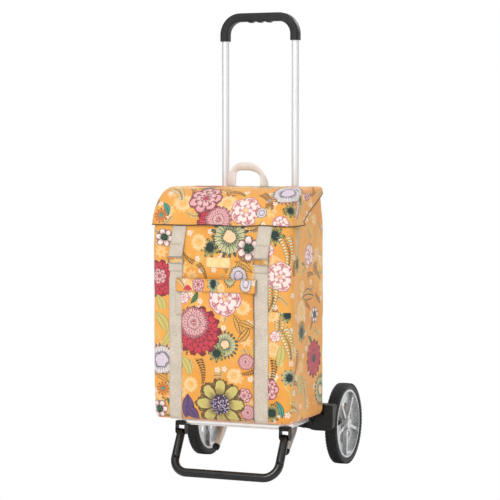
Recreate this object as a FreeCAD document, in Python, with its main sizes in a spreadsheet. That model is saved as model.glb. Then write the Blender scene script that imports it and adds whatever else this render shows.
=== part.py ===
"""A two-wheeled shopping trolley: an aluminium frame with a fold-up shelf and stand, and a flap-top bag.

X is to the right, Y to the rear and Z up. The origin is on the floor, under the middle of the outer box.
Each piece is drawn in the handle's frame, where the two handle tubes stand at Y = 0, and its Placement
then moves it back by tube_y. All sizes are in millimetres.
"""

import FreeCAD
import Part
import os
import re
import math
import Sketcher

V = FreeCAD.Vector
doc = FreeCAD.newDocument("shopping_trolley")

# ---------------------------------------------------------------- driving sizes

SIZES = {
    # wheels and axle
    "wheel_radius": 100,
    "wheel_width": 29.4,
    "wheel_track": 370,
    "tyre_seat_radius": 84,
    "tyre_shoulder": 5,
    "groove_depth": 1.6,
    "groove_width": 2,
    "groove_pitch": 7,
    "rim_wall": 5,
    "rim_width": 25,
    "web_wall": 4,
    "hub_radius": 15,
    "spoke_count": 5,
    "spoke_width": 8,
    "spoke_depth": 18,
    "window_inner": 21,
    "window_outer": 50,
    "window_width": 17,
    "bearing_radius": 11,
    "bearing_width": 7,
    "cap_radius": 13.5,
    "cap_wall": 2,
    "axle_radius": 4,
    "axle_back": 95,
    "running_clearance": 0.05,
    "clip_wall": 1.5,
    "clip_radius": 8,
    # handle
    "tube_radius": 9,
    "tube_wall": 1.3,
    "tube_spacing": 184,
    "handle_top": 1110,
    "grip_end": 1042,
    "grip_thickness": 21,
    "grip_breadth": 25,
    "grip_bend": 42,
    "grip_round": 5,
    "grip_insert": 14,
    "finger_pitch": 23.5,
    "finger_bump": 3,
    "finger_radius": 11,
    "skid_corner_height": 99,
    "skid_bend": 62,
    "skid_reach": 58,
    "skid_end_height": 50,
    "plug_head": 5,
    "plug_stem": 12,
    # rear brace that the bag hangs on
    "brace_height": 630,
    "brace_depth": 22,
    "brace_bar": 12,
    "sleeve_wall": 3.5,
    "rivet_radius": 4,
    "rivet_head": 1.6,
    # axle brackets and mudguards
    "bracket_bottom": 97,
    "arm_top": 136,
    "bracket_top": 160,
    "bracket_front": 24,
    "bracket_back": 12,
    "guard_gap": 3,
    "guard_edge": 199,
    "guard_inner": 152,
    "cheek_wall": 10,
    "boss_radius": 16,
    "wheel_side_gap": 1.6,
    # shelf
    "shelf_tube_radius": 10,
    "shelf_width": 268,
    "shelf_reach": 172,
    "shelf_height": 127,
    "shelf_bend": 30,
    "shelf_pivot_reach": 29,
    "shelf_bar_reach": 92,
    "shelf_bar_radius": 6,
    "pin_radius": 3,
    "eye_width": 16,
    "eye_radius": 10,
    "eye_neck": 12,
    "ear_wall": 6,
    "side_play": 0.4,
    "turn_gap": 0.8,
    # stand
    "stand_tube_radius": 9.5,
    "stand_reach": 228,
    "stand_bend": 36,
    "stand_pivot_reach": 172,
    "stand_pivot_drop": 24,
    "tongue_width": 9,
    "saddle_length": 24,
    # bag
    "bag_width": 350,
    "bag_depth": 226,
    "bag_gap": 1.5,
    "bag_bottom": 139,
    "bag_top": 684,
    "bag_wall": 2.5,
    "bag_corner": 18,
    "bag_foot_round": 14,
    "board_wall": 3,
    "cover_gap": 1.2,
    "cover_wall": 2.5,
    "cover_top": 688,
    "cover_edge": 600,
    "cover_round": 84,
    "cover_side_reach": 163,
    "detail_shift": -8,
    "strap_width": 35,
    "strap_wall": 1.6,
    "strap_spacing": 217,
    "strap_bottom": 152,
    "strap_top": 510,
    "strap_lean": 12,
    "ring_bottom": 507,
    "ring_height": 19,
    "ring_overhang": 3,
    "ring_wire": 3,
    "tail_width": 17,
    "tail_bottom": 388,
    "pocket_width": 181,
    "pocket_top": 470,
    "pocket_bottom": 147,
    "pocket_depth": 14,
    "pocket_wall": 1.6,
    "pocket_cover_width": 204,
    "pocket_cover_top": 475,
    "pocket_cover_drop": 30,
    "label_width": 62,
    "label_height": 24,
    "label_bottom": 501,
    "label_wall": 0.6,
    "loop_width": 108,
    "loop_rise": 58,
    "loop_band": 26,
    "loop_reach": 85,
    "loop_wall": 3,
    "loop_round": 34,
    "hook_spacing": 80,
    "hook_width": 24,
    "hook_wall": 2,
    "hook_drop": 16,
    "skin_gap": 0.4,
}

sheet = doc.addObject("Spreadsheet::Sheet", "Sizes")
for row, (alias, value) in enumerate(SIZES.items(), start=1):
    sheet.set(f"A{row}", alias)
    sheet.set(f"B{row}", str(value))
    sheet.setAlias(f"B{row}", alias)
doc.recompute()

# Lengths that follow from the sizes. Each name can be used inside any formula below.
DERIVED = {
    "bag_back": "tube_radius + sleeve_wall + bag_gap",
    "bag_front": "bag_back + bag_depth",
    "pocket_front": "bag_front + pocket_depth",
    "front_reach": "pocket_front + skin_gap + pocket_wall",
    "tube_y": "(front_reach - axle_back - wheel_radius) / 2",
    "wheel_x": "wheel_track / 2",
    "tube_x": "tube_spacing / 2",
    "shelf_x": "shelf_width / 2",
    "half_wheel": "wheel_width / 2",
    "cheek_outer": "wheel_x - half_wheel - 2 * wheel_side_gap - rim_wall / 2",
    "hub_inner": "wheel_x - cheek_outer - wheel_side_gap",
    "cap_seat": "half_wheel - cap_wall",
    "shelf_tube_start": "shelf_pivot_reach + eye_neck",
    "stand_pivot_z": "shelf_height - stand_pivot_drop",
    "stand_rise": "stand_pivot_z - stand_tube_radius",
    "stand_run": "stand_reach - stand_pivot_reach",
    "stand_length": "sqrt(stand_run ^ 2 + stand_rise ^ 2)",
    "eye_room": "eye_width + 2 * side_play",
    "tongue_room": "tongue_width + 2 * side_play",
    "ear_half": "tongue_width / 2 + side_play + ear_wall",
    "ear_round": "stand_tube_radius * 0.9",
    "tongue_reach": "stand_tube_radius - 0.5",
    "tongue_round": "stand_tube_radius * 0.8",
    "grip_z": "handle_top - grip_thickness / 2",
    "cover_front": "bag_front + cover_gap + cover_wall",
}


def formula(text):
    """Turns a formula of size names into one that FreeCAD can bind to the spreadsheet."""

    def swap(match):
        word = match.group(0)
        if word in SIZES:
            return "Sizes." + word
        if word in DERIVED:
            return "(" + formula(DERIVED[word]) + ")"
        return word

    return re.sub(r"[A-Za-z_][A-Za-z_0-9]*", swap, str(text))


def number(text):
    """The number that a formula gives, worked out by FreeCAD."""
    result = sheet.evalExpression(formula(text))
    return float(getattr(result, "Value", result))


def bind(thing, **formulas):
    """Binds properties of an object; a double underscore in a name stands for a dot."""
    for name, text in formulas.items():
        thing.setExpression(name.replace("__", "."), formula(text))


def place(thing, x=0, y=0, z=0, turn=None):
    """Puts an object at a bound place, after an optional fixed turn (axis, degrees)."""
    if turn:
        thing.Placement = FreeCAD.Placement(V(0, 0, 0), FreeCAD.Rotation(V(*turn[0]), turn[1]))
    bind(thing, Placement__Base__x=x, Placement__Base__y=y, Placement__Base__z=z)
    return thing


# ---------------------------------------------------------------- primitives and booleans

ALONG = {"x": ((0, 1, 0), 90), "y": ((1, 0, 0), -90), "z": None}


def cylinder(name, radius, length, x=0, y=0, z=0, along="z"):
    """A cylinder that starts at a place and runs along a positive axis."""
    made = doc.addObject("Part::Cylinder", name)
    bind(made, Radius=radius, Height=length)
    return place(made, x, y, z, ALONG[along])


def block(name, x, y, z):
    """A box between bound limits: each of x, y and z is a pair of formulas, low then high."""
    made = doc.addObject("Part::Box", name)
    sides = [f"({high}) - ({low})" for low, high in (x, y, z)]
    bind(made, Length=sides[0], Width=sides[1], Height=sides[2])
    return place(made, x[0], y[0], z[0])


def joined(name, *pieces):
    made = doc.addObject("Part::MultiFuse", name)
    made.Shapes = list(pieces)
    made.Refine = True
    return made


def without(name, base, *tools):
    made = doc.addObject("Part::Cut", name)
    made.Base = base
    made.Tool = tools[0] if len(tools) == 1 else joined(name + "_tools", *tools)
    made.Refine = True
    return made


def shared(name, *pieces):
    made = doc.addObject("Part::MultiCommon", name)
    made.Shapes = list(pieces)
    made.Refine = True
    return made


def group(name, *pieces):
    """Identical fasteners, kept as separate solids in one node."""
    made = doc.addObject("Part::Compound", name)
    made.Links = list(pieces)
    return made


# ---------------------------------------------------------------- bodies and sketches


def plane_of(body, role):
    return next(f for f in body.Origin.OriginFeatures if f.Role == role)


def new_body(name):
    return doc.addObject("PartDesign::Body", name)


def new_sketch(body, name, role, lift=None):
    """A sketch on one of the body's own planes, moved along its normal by a bound distance."""
    sketch = body.newObject("Sketcher::SketchObject", name)
    sketch.AttachmentSupport = [(plane_of(body, role), "")]
    sketch.MapMode = "FlatFace"
    if lift is not None:
        bind(sketch, AttachmentOffset__Base__z=lift)
    return sketch


def pin_point(sketch, geometry, position, x, y):
    """Fixes a sketch point at a bound place measured from the sketch's origin."""
    for kind, text in (("DistanceX", x), ("DistanceY", y)):
        index = sketch.addConstraint(
            Sketcher.Constraint(kind, -1, 1, geometry, position, number(text))
        )
        sketch.setExpression(f"Constraints[{index}]", formula(text))


def ring_profile(sketch, x, y, *radii):
    """One circle for each bound radius, all round the same bound point."""
    for radius in radii:
        circle = sketch.addGeometry(
            Part.Circle(V(number(x), number(y), 0), V(0, 0, 1), number(radius))
        )
        pin_point(sketch, circle, 3, x, y)
        index = sketch.addConstraint(Sketcher.Constraint("Radius", circle, number(radius)))
        sketch.setExpression(f"Constraints[{index}]", formula(radius))


def path(sketch, corners, closed=False):
    """Straight runs through bound corners (x, y) or (x, y, radius), with a tangent arc at each radius."""
    points = [V(number(corner[0]), number(corner[1]), 0) for corner in corners]
    radii = [corner[2] if len(corner) > 2 else None for corner in corners]
    count = len(points)
    arcs, starts, ends = {}, dict(enumerate(points)), dict(enumerate(points))
    for i, radius in enumerate(radii):
        if radius is None:
            continue
        bend = number(radius)
        back = (points[i - 1] - points[i]).normalize()
        on = (points[(i + 1) % count] - points[i]).normalize()
        half = back.getAngle(on) / 2
        reach = bend / math.tan(half)
        middle = (back + on).normalize()
        nearest = points[i] + middle * (bend / math.sin(half) - bend)
        ends[i] = points[i] + back * reach
        starts[i] = points[i] + on * reach
        arcs[i] = (ends[i], nearest, starts[i])
    runs = count if closed else count - 1
    for i in range(runs):
        sketch.addGeometry(Part.LineSegment(starts[i], ends[(i + 1) % count]))
    joints = range(count) if closed else range(1, count - 1)
    for i in joints:
        before, after = (i - 1) % count, i
        if i not in arcs:
            sketch.addConstraint(Sketcher.Constraint("Coincident", before, 2, after, 1))
            pin_point(sketch, after, 1, *corners[i][:2])
            continue
        mark = sketch.addGeometry(Part.Point(points[i]), True)
        pin_point(sketch, mark, 1, *corners[i][:2])
        sketch.addConstraint(Sketcher.Constraint("PointOnObject", mark, 1, before))
        sketch.addConstraint(Sketcher.Constraint("PointOnObject", mark, 1, after))
        arc = sketch.addGeometry(Part.Arc(*arcs[i]))
        turned = (sketch.getPoint(arc, 1) - arcs[i][0]).Length > 0.001
        first, last = (2, 1) if turned else (1, 2)
        sketch.addConstraint(Sketcher.Constraint("Tangent", before, 2, arc, first))
        sketch.addConstraint(Sketcher.Constraint("Tangent", after, 1, arc, last))
        index = sketch.addConstraint(Sketcher.Constraint("Radius", arc, number(radii[i])))
        sketch.setExpression(f"Constraints[{index}]", formula(radii[i]))
    if not closed:
        pin_point(sketch, 0, 1, *corners[0][:2])
        pin_point(sketch, runs - 1, 2, *corners[-1][:2])


def pipe(body, name, profile, path):
    made = body.newObject("PartDesign::AdditivePipe", name)
    made.Profile = profile
    made.Spine = (path, [f"Edge{i + 1}" for i in range(len(path.Shape.Edges))])
    return made


def pad(body, name, sketch, length, both_ways=False):
    made = body.newObject("PartDesign::Pad", name)
    made.Profile = sketch
    bind(made, Length=length)
    if both_ways:
        made.Midplane = True
    return made


def pocket(body, name, sketch, length, both_ways=False):
    made = body.newObject("PartDesign::Pocket", name)
    made.Profile = sketch
    bind(made, Length=length)
    if both_ways:
        made.Midplane = True
    return made


def revolved(body, name, sketch, axis_role):
    made = body.newObject("PartDesign::Revolution", name)
    made.Profile = sketch
    made.ReferenceAxis = (plane_of(body, axis_role), [""])
    made.Angle = 360
    return made


PARTS = []


def part(node, made, moved=True):
    """Marks an object as one finished piece, with the name a person would use, and moves it into place."""
    made.Label = node
    if moved:
        bind(made, Placement__Base__y="tube_y")
    PARTS.append(made)
    return made


def turned_place(thing, axis, angle, x=0, y=0, z=0):
    """Puts an object at a bound place with a bound turn about one axis."""
    thing.Placement = FreeCAD.Placement(V(0, 0, 0), FreeCAD.Rotation(V(*axis), 10))
    bind(thing, Placement__Rotation__Angle=angle)
    bind(thing, Placement__Base__x=x, Placement__Base__y=y, Placement__Base__z=z)
    return thing


def swept_tube(name, path_role, path_lift, corners, profile_role, profile_lift, centre, *radii):
    """A round bar or, with two radii, a tube that follows a bent path."""
    body = new_body(name)
    route = new_sketch(body, name + "_path", path_role, path_lift)
    path(route, corners)
    profile = new_sketch(body, name + "_profile", profile_role, profile_lift)
    ring_profile(profile, *centre, *radii)
    doc.recompute()
    pipe(body, name + "_sweep", profile, route)
    return body


def slab(name, role, corners, low, high):
    """An outline pushed out between two bound distances along its plane's normal."""
    body = new_body(name)
    sketch = new_sketch(body, name + "_outline", role, low)
    path(sketch, corners, closed=True)
    pad(body, name + "_pad", sketch, f"({high}) - ({low})")
    return body


def rectangle(x0, x1, y0, y1, radius=None):
    corners = [(x0, y0), (x1, y0), (x1, y1), (x0, y1)]
    return [corner + (radius,) for corner in corners] if radius else corners


SIDES = {"left": -1, "right": 1}


def across(side, inner, outer):
    """The low and high ends of a stretch along X that runs from inner to outer on one side."""
    ends = (f"{side} * ({inner})", f"{side} * ({outer})")
    return ends if side > 0 else ends[::-1]


# ---------------------------------------------------------------- handle

tube_top = "grip_end + grip_insert"


def handle_route(name, side, *radii):
    """A piece that follows one handle tube: straight down from the grip, then bent forward as a skid."""
    return swept_tube(
        name,
        "YZ_Plane", f"{side} * tube_x",
        [(0, tube_top), (0, "skid_corner_height", "skid_bend"), ("-skid_reach", "skid_end_height")],
        "XY_Plane", tube_top,
        (f"{side} * tube_x", 0),
        *radii,
    )


for word, side in SIDES.items():
    tube = handle_route(f"HandleTube_{word}", side, "tube_radius", "tube_radius - tube_wall")
    part(f"handle_tube_{word}", tube)

# The grip is one U of rounded rectangular section, with three finger bumps under the bar.
grip = new_body("Grip")
grip_path = new_sketch(grip, "Grip_path", "XZ_Plane")
path(grip_path, [
    ("-tube_x", "grip_end"),
    ("-tube_x", "grip_z", "grip_bend"),
    ("tube_x", "grip_z", "grip_bend"),
    ("tube_x", "grip_end"),
])
grip_profile = new_sketch(grip, "Grip_profile", "XY_Plane", "grip_end")
path(grip_profile, rectangle(
    "-tube_x - grip_thickness / 2", "-tube_x + grip_thickness / 2",
    "-grip_breadth / 2", "grip_breadth / 2", "grip_round",
), closed=True)
doc.recompute()
pipe(grip, "Grip_sweep", grip_profile, grip_path)
for spot in (-1, 0, 1):
    bump = new_sketch(grip, f"Grip_bump_{spot + 1}", "XZ_Plane")
    ring_profile(
        bump, f"{spot} * finger_pitch",
        "handle_top - grip_thickness + finger_radius - finger_bump", "finger_radius",
    )
    pad(grip, f"Grip_bump_pad_{spot + 1}", bump, "grip_breadth - 2 * grip_round", both_ways=True)
for word, side in SIDES.items():
    socket = new_sketch(grip, f"Grip_socket_{word}", "XY_Plane", "grip_end")
    ring_profile(socket, f"{side} * tube_x", 0, "tube_radius")
    bore = pocket(grip, f"Grip_bore_{word}", socket, "grip_insert")
    bore.Reversed = True
part("grip", grip)

# Domed black plugs close the forward-bent ends of the tubes, which slide on stairs.
skid_angle = "atan2(skid_reach; skid_corner_height - skid_end_height)"
for word, side in SIDES.items():
    stem = cylinder(f"PlugStem_{word}", "tube_radius - tube_wall", "plug_stem", z=0)
    head = cylinder(f"PlugHead_{word}", "tube_radius", "plug_head", z="-plug_head")
    dome = doc.addObject("Part::Sphere", f"PlugDome_{word}")
    bind(dome, Radius="tube_radius")
    place(dome, z="-plug_head")
    plug = joined(f"Plug_{word}", stem, head, dome)
    turned_place(plug, (1, 0, 0), f"-{skid_angle}", x=f"{side} * tube_x",
                 y="tube_y - skid_reach", z="skid_end_height")
    part(f"skid_plug_{word}", plug, moved=False)

# ---------------------------------------------------------------- upper brace

brace_bar = slab("BraceBar", "XZ_Plane", rectangle(
    "-tube_x", "tube_x", "brace_height - brace_depth / 2", "brace_height + brace_depth / 2",
), "-brace_bar / 2", "brace_bar / 2")
sleeve_radius = "tube_radius + sleeve_wall"
sleeves, holes = [], []
for word, side in SIDES.items():
    at = {"x": f"{side} * tube_x", "z": "brace_height - brace_depth / 2"}
    sleeves.append(cylinder(f"BraceSleeve_{word}", sleeve_radius, "brace_depth", **at))
    holes.append(cylinder(f"BraceHole_{word}", "tube_radius", "brace_depth", **at))
brace = without("Brace", joined("BraceWhole", brace_bar, *sleeves), *holes)
part("upper_brace", brace)

screws = []
for word, side in SIDES.items():
    screws.append(cylinder(
        f"BraceScrew_{word}", "rivet_radius", "rivet_head",
        x=f"{side} * (tube_x - sleeve_wall - tube_radius - rivet_radius)",
        y="brace_bar / 2", z="brace_height", along="y",
    ))
part("brace_screws", group("BraceScrews", *screws))

# ---------------------------------------------------------------- axle brackets and axle

# Each moulded bracket grips a tube, carries the shelf pivot's ears and the mudguard, and holds the axle.
lug_half = "eye_width / 2 + side_play + ear_wall"
for word, side in SIDES.items():
    arm = slab(f"Arm_{word}", "XZ_Plane", [
        (f"{side} * tube_x", "arm_top"),
        (f"{side} * tube_x", "bracket_bottom + 9"),
        (f"{side} * guard_inner", "bracket_bottom", 60),
        (f"{side} * guard_edge", "bracket_bottom", 14),
        (f"{side} * guard_edge", "bracket_top", 6),
        (f"{side} * guard_inner", "bracket_top", 4),
        (f"{side} * guard_inner", "arm_top"),
    ], "-bracket_back", "bracket_front")
    sleeve = cylinder(f"Sleeve_{word}", sleeve_radius, "bracket_top - bracket_bottom - 9",
                      x=f"{side} * tube_x", z="bracket_bottom + 9")
    ears = slab(f"Ears_{word}", "YZ_Plane", [
        ("-shelf_pivot_reach - eye_radius", "shelf_height - eye_radius", "eye_radius * 0.8"),
        ("0", "shelf_height - eye_radius"),
        ("0", "shelf_height + eye_radius"),
        ("-shelf_pivot_reach - eye_radius", "shelf_height + eye_radius", "eye_radius * 0.8"),
    ], *across(side, f"shelf_x - ({lug_half})", f"shelf_x + {lug_half}"))
    cheek = slab(f"Cheek_{word}", "YZ_Plane", [
        (0, "bracket_bottom + 8"),
        (0, "bracket_top - 8", 8),
        ("axle_back", "wheel_radius + boss_radius"),
        ("axle_back", "wheel_radius - boss_radius"),
    ], *across(side, "cheek_outer - cheek_wall", "cheek_outer"))
    boss_low, boss_high = across(side, "cheek_outer - cheek_wall", "cheek_outer")
    boss = cylinder(f"Boss_{word}", "boss_radius", "cheek_wall",
                    x=boss_low, y="axle_back", z="wheel_radius", along="x")
    whole = joined(f"BracketWhole_{word}", arm, sleeve, ears, cheek, boss)
    wheel_low, wheel_high = across(side, "cheek_outer", "guard_edge + 1")
    cuts = [
        cylinder(f"GuardCut_{word}", "wheel_radius + guard_gap", f"({wheel_high}) - ({wheel_low})",
                 x=wheel_low, y="axle_back", z="wheel_radius", along="x"),
        handle_route(f"TubeRoom_{word}", side, "tube_radius"),
        cylinder(f"AxleCut_{word}", "axle_radius", "wheel_track",
                 x="-wheel_track / 2", y="axle_back", z="wheel_radius", along="x"),
        cylinder(f"PinCut_{word}", "pin_radius", lug_half + " + " + lug_half,
                 x=f"{side} * shelf_x - ({lug_half})", y="-shelf_pivot_reach", z="shelf_height", along="x"),
        block(f"EyeSlot_{word}",
              (f"{side} * shelf_x - eye_room / 2", f"{side} * shelf_x + eye_room / 2"),
              ("-shelf_pivot_reach - 2 * eye_radius", "-shelf_pivot_reach + eye_radius + turn_gap"),
              (0, "bracket_top")),
        block(f"BagRoom_{word}", across(side, 0, "bag_width / 2 + 1.5"),
              ("-bag_front", "-bag_back + 1.5"), ("arm_top", "bracket_top + 1")),
    ]
    part(f"axle_bracket_{word}", without(f"Bracket_{word}", whole, *cuts))
    pin = cylinder(f"ShelfPin_{word}", "pin_radius", f"2 * ({lug_half})",
                   x=f"{side} * shelf_x - ({lug_half})", y="-shelf_pivot_reach", z="shelf_height", along="x")
    part(f"shelf_pin_{word}", group(f"ShelfPinPiece_{word}", pin))

rivets = [
    cylinder(f"BracketRivet_{word}", "rivet_radius", "rivet_head",
             x=f"{side} * (tube_x + 3 * rivet_radius)", y="-bracket_front - rivet_head",
             z="shelf_height - 7", along="y")
    for word, side in SIDES.items()
]
part("bracket_rivets", group("BracketRivets", *rivets))

axle_end = "wheel_track / 2 + cap_seat - 3"
axle = cylinder("AxleRod", "axle_radius", f"2 * ({axle_end})", x=f"-({axle_end})",
                y="axle_back", z="wheel_radius", along="x")
part("axle", group("Axle", axle))

clips = []
for word, side in SIDES.items():
    clip_low, clip_high = across(side, f"{axle_end} - 1 - clip_wall", f"{axle_end} - 1")
    at = {"x": clip_low, "y": "axle_back", "z": "wheel_radius", "along": "x"}
    disc = cylinder(f"ClipDisc_{word}", "clip_radius", "clip_wall", **at)
    hole = cylinder(f"ClipHole_{word}", "axle_radius", "clip_wall", **at)
    clips.append(without(f"Clip_{word}", disc, hole))
part("axle_clips", group("AxleClips", *clips))

# ---------------------------------------------------------------- wheels


def wheel_place(made, side):
    """Turns a piece drawn round the X axis, outer face to +X, to its side and puts it on the axle."""
    if side < 0:
        made.Placement = FreeCAD.Placement(V(0, 0, 0), FreeCAD.Rotation(V(0, 0, 1), 180))
    bind(made, Placement__Base__x=f"{side} * wheel_x", Placement__Base__y="tube_y + axle_back",
         Placement__Base__z="wheel_radius")
    return made


def wheel_rim(name):
    """A moulded wheel: seat for the tyre, recessed web with windows near the hub, spokes and hub."""
    body = new_body(name)
    section = new_sketch(body, name + "_section", "XY_Plane")
    path(section, [
        ("-hub_inner", "bearing_radius"),
        ("cap_seat", "bearing_radius"),
        ("cap_seat", "hub_radius"),
        ("web_wall / 2", "hub_radius + 2"),
        ("web_wall / 2", "tyre_seat_radius - rim_wall"),
        ("rim_width / 2", "tyre_seat_radius - rim_wall"),
        ("rim_width / 2", "tyre_seat_radius"),
        ("-rim_width / 2", "tyre_seat_radius"),
        ("-rim_width / 2", "tyre_seat_radius - rim_wall"),
        ("-web_wall / 2", "tyre_seat_radius - rim_wall"),
        ("-web_wall / 2", "hub_radius + 2"),
        ("-hub_inner", "hub_radius"),
    ], closed=True)
    revolved(body, name + "_turning", section, "X_Axis")
    window = new_sketch(body, name + "_window", "YZ_Plane")
    path(window, [
        ("-window_width * 0.3", "window_inner", 2),
        ("window_width * 0.3", "window_inner", 2),
        ("window_width", "window_outer", 5),
        ("-window_width", "window_outer", 5),
    ], closed=True)
    opening = pocket(body, name + "_opening", window, "rim_width", both_ways=True)
    doc.recompute()
    openings = polar(body, name + "_openings", opening)
    spoke = new_sketch(body, name + "_spoke", "YZ_Plane")
    path(spoke, rectangle("-spoke_width / 2", "spoke_width / 2",
                          "-(tyre_seat_radius - rim_wall / 2)", "-(hub_radius - 1)"), closed=True)
    rib = pad(body, name + "_rib", spoke, "spoke_depth", both_ways=True)
    doc.recompute()
    polar(body, name + "_ribs", rib)
    return body


def polar(body, name, feature):
    """Repeats a feature round the wheel's axis, once for each spoke."""
    made = body.newObject("PartDesign::PolarPattern", name)
    made.Originals = [feature]
    made.Axis = (plane_of(body, "X_Axis"), [""])
    made.Angle = 360
    bind(made, Occurrences="spoke_count")
    body.Tip = made
    doc.recompute()
    return made


def wheel_tyre(name):
    """A solid rubber tyre with rounded shoulders and running grooves."""
    body = new_body(name)
    section = new_sketch(body, name + "_section", "XY_Plane")
    path(section, [
        ("-half_wheel", "tyre_seat_radius"),
        ("half_wheel", "tyre_seat_radius"),
        ("half_wheel", "wheel_radius", "tyre_shoulder"),
        ("-half_wheel", "wheel_radius", "tyre_shoulder"),
    ], closed=True)
    revolved(body, name + "_turning", section, "X_Axis")
    for spot in (-1, 0, 1):
        cut = new_sketch(body, f"{name}_groove_{spot + 1}", "XY_Plane")
        path(cut, rectangle(
            f"{spot} * groove_pitch - groove_width / 2", f"{spot} * groove_pitch + groove_width / 2",
            "wheel_radius - groove_depth", "wheel_radius + 1",
        ), closed=True)
        groove = body.newObject("PartDesign::Groove", f"{name}_groove_cut_{spot + 1}")
        groove.Profile = cut
        groove.ReferenceAxis = (plane_of(body, "X_Axis"), [""])
        groove.Angle = 360
    return body


def turned_piece(name, corners):
    """A ring or disc whose half section is drawn in the XY plane and turned round the X axis."""
    body = new_body(name)
    section = new_sketch(body, name + "_section", "XY_Plane")
    path(section, corners, closed=True)
    revolved(body, name + "_turning", section, "X_Axis")
    return body


for word, side in SIDES.items():
    pieces = {
        "rim": wheel_rim(f"Rim_{word}"),
        "tyre": wheel_tyre(f"Tyre_{word}"),
        "hub_cap": turned_piece(f"HubCap_{word}", [
            ("cap_seat - 2", "bearing_radius - 1.5"),
            ("cap_seat", "bearing_radius - 1.5"),
            ("cap_seat", 0),
            ("half_wheel", 0),
            ("half_wheel", "cap_radius", 1.2),
            ("cap_seat", "cap_radius"),
            ("cap_seat", "bearing_radius"),
            ("cap_seat - 2", "bearing_radius"),
        ]),
    }
    for spot, start in (("inner", "-hub_inner"), ("outer", "cap_seat - 8 - bearing_width")):
        bore = "axle_radius + running_clearance"
        pieces[f"bearing_{spot}"] = turned_piece(f"Bearing_{spot}_{word}", rectangle(
            start, f"{start} + bearing_width", bore, "bearing_radius",
        ))
    for node, made in pieces.items():
        part(f"{node}_{word}", wheel_place(made, side), moved=False)

# ---------------------------------------------------------------- shelf

shelf = swept_tube(
    "ShelfLoop",
    "XY_Plane", "shelf_height",
    [
        ("-shelf_x", "-shelf_tube_start"),
        ("-shelf_x", "-shelf_reach", "shelf_bend"),
        ("shelf_x", "-shelf_reach", "shelf_bend"),
        ("shelf_x", "-shelf_tube_start"),
    ],
    "XZ_Plane", "shelf_tube_start",
    ("-shelf_x", "shelf_height"),
    "shelf_tube_radius", "shelf_tube_radius - tube_wall",
)
part("shelf_loop", shelf)

bar = cylinder("BarRod", "shelf_bar_radius", "shelf_width", x="-shelf_x",
               y="-shelf_bar_reach", z="shelf_height", along="x")
bar_ends = [
    cylinder(f"BarEnd_{word}", "shelf_tube_radius", "shelf_reach", x=f"{side} * shelf_x",
             y="-shelf_reach", z="shelf_height", along="y")
    for word, side in SIDES.items()
]
part("shelf_cross_bar", without("ShelfBar", bar, *bar_ends))

for word, side in SIDES.items():
    eye = cylinder(f"EyeDisc_{word}", "eye_radius", "eye_width", x=f"{side} * shelf_x - eye_width / 2",
                   y="-shelf_pivot_reach", z="shelf_height", along="x")
    neck = cylinder(f"EyeNeck_{word}", "eye_width / 2 - 1", "eye_neck", x=f"{side} * shelf_x",
                    y="-shelf_tube_start", z="shelf_height", along="y")
    stem = cylinder(f"EyeStem_{word}", "shelf_tube_radius - tube_wall", "plug_stem", x=f"{side} * shelf_x",
                    y="-shelf_tube_start - plug_stem", z="shelf_height", along="y")
    hole = cylinder(f"EyeHole_{word}", "pin_radius + running_clearance", "eye_width",
                    x=f"{side} * shelf_x - eye_width / 2", y="-shelf_pivot_reach", z="shelf_height", along="x")
    whole = joined(f"EyeWhole_{word}", eye, neck, stem)
    part(f"shelf_eye_{word}", without(f"Eye_{word}", whole, hole))

    # The stand's bracket: a saddle under the side tube, a thin plate and two ears round the tongue.
    saddle_end = "shelf_reach - shelf_bend"
    plate_low = "stand_pivot_z + stand_tube_radius + turn_gap"
    plate_high = "shelf_height - shelf_tube_radius"
    low, high = f"{side} * shelf_x - ear_half", f"{side} * shelf_x + ear_half"
    saddle = block(f"Saddle_{word}", (low, high),
                   (f"-({saddle_end})", f"-({saddle_end}) + saddle_length"), (plate_low, "shelf_height"))
    plate = block(f"Plate_{word}", (low, high), ("-stand_pivot_reach", f"-({saddle_end}) + saddle_length"),
                  (plate_low, plate_high))
    ear = slab(f"StandEar_{word}", "YZ_Plane", [
        ("-stand_pivot_reach - stand_tube_radius", "stand_pivot_z - stand_tube_radius", "ear_round"),
        ("-stand_pivot_reach + stand_tube_radius", "stand_pivot_z - stand_tube_radius", "ear_round"),
        ("-stand_pivot_reach + stand_tube_radius", plate_high),
        ("-stand_pivot_reach - stand_tube_radius", plate_high, "3"),
    ], low, high)
    whole = joined(f"StandBracketWhole_{word}", saddle, plate, ear)
    slot = block(f"TongueSlot_{word}",
                 (f"{side} * shelf_x - tongue_room / 2", f"{side} * shelf_x + tongue_room / 2"),
                 ("-stand_pivot_reach - 2 * stand_tube_radius", "-stand_pivot_reach + 2 * stand_tube_radius"),
                 (0, plate_low))
    seat = cylinder(f"SaddleSeat_{word}", "shelf_tube_radius", "shelf_reach", x=f"{side} * shelf_x",
                    y="-shelf_reach", z="shelf_height", along="y")
    pin_at = {
        "x": f"{side} * shelf_x - ear_half", "y": "-stand_pivot_reach", "z": "stand_pivot_z", "along": "x",
    }
    pin_hole = cylinder(f"StandPinHole_{word}", "pin_radius", "2 * ear_half", **pin_at)
    part(f"stand_bracket_{word}", without(f"StandBracket_{word}", whole, slot, seat, pin_hole))
    pin = cylinder(f"StandPinRod_{word}", "pin_radius", "2 * ear_half", **pin_at)
    part(f"stand_pin_{word}", group(f"StandPin_{word}", pin))

# ---------------------------------------------------------------- stand

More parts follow.
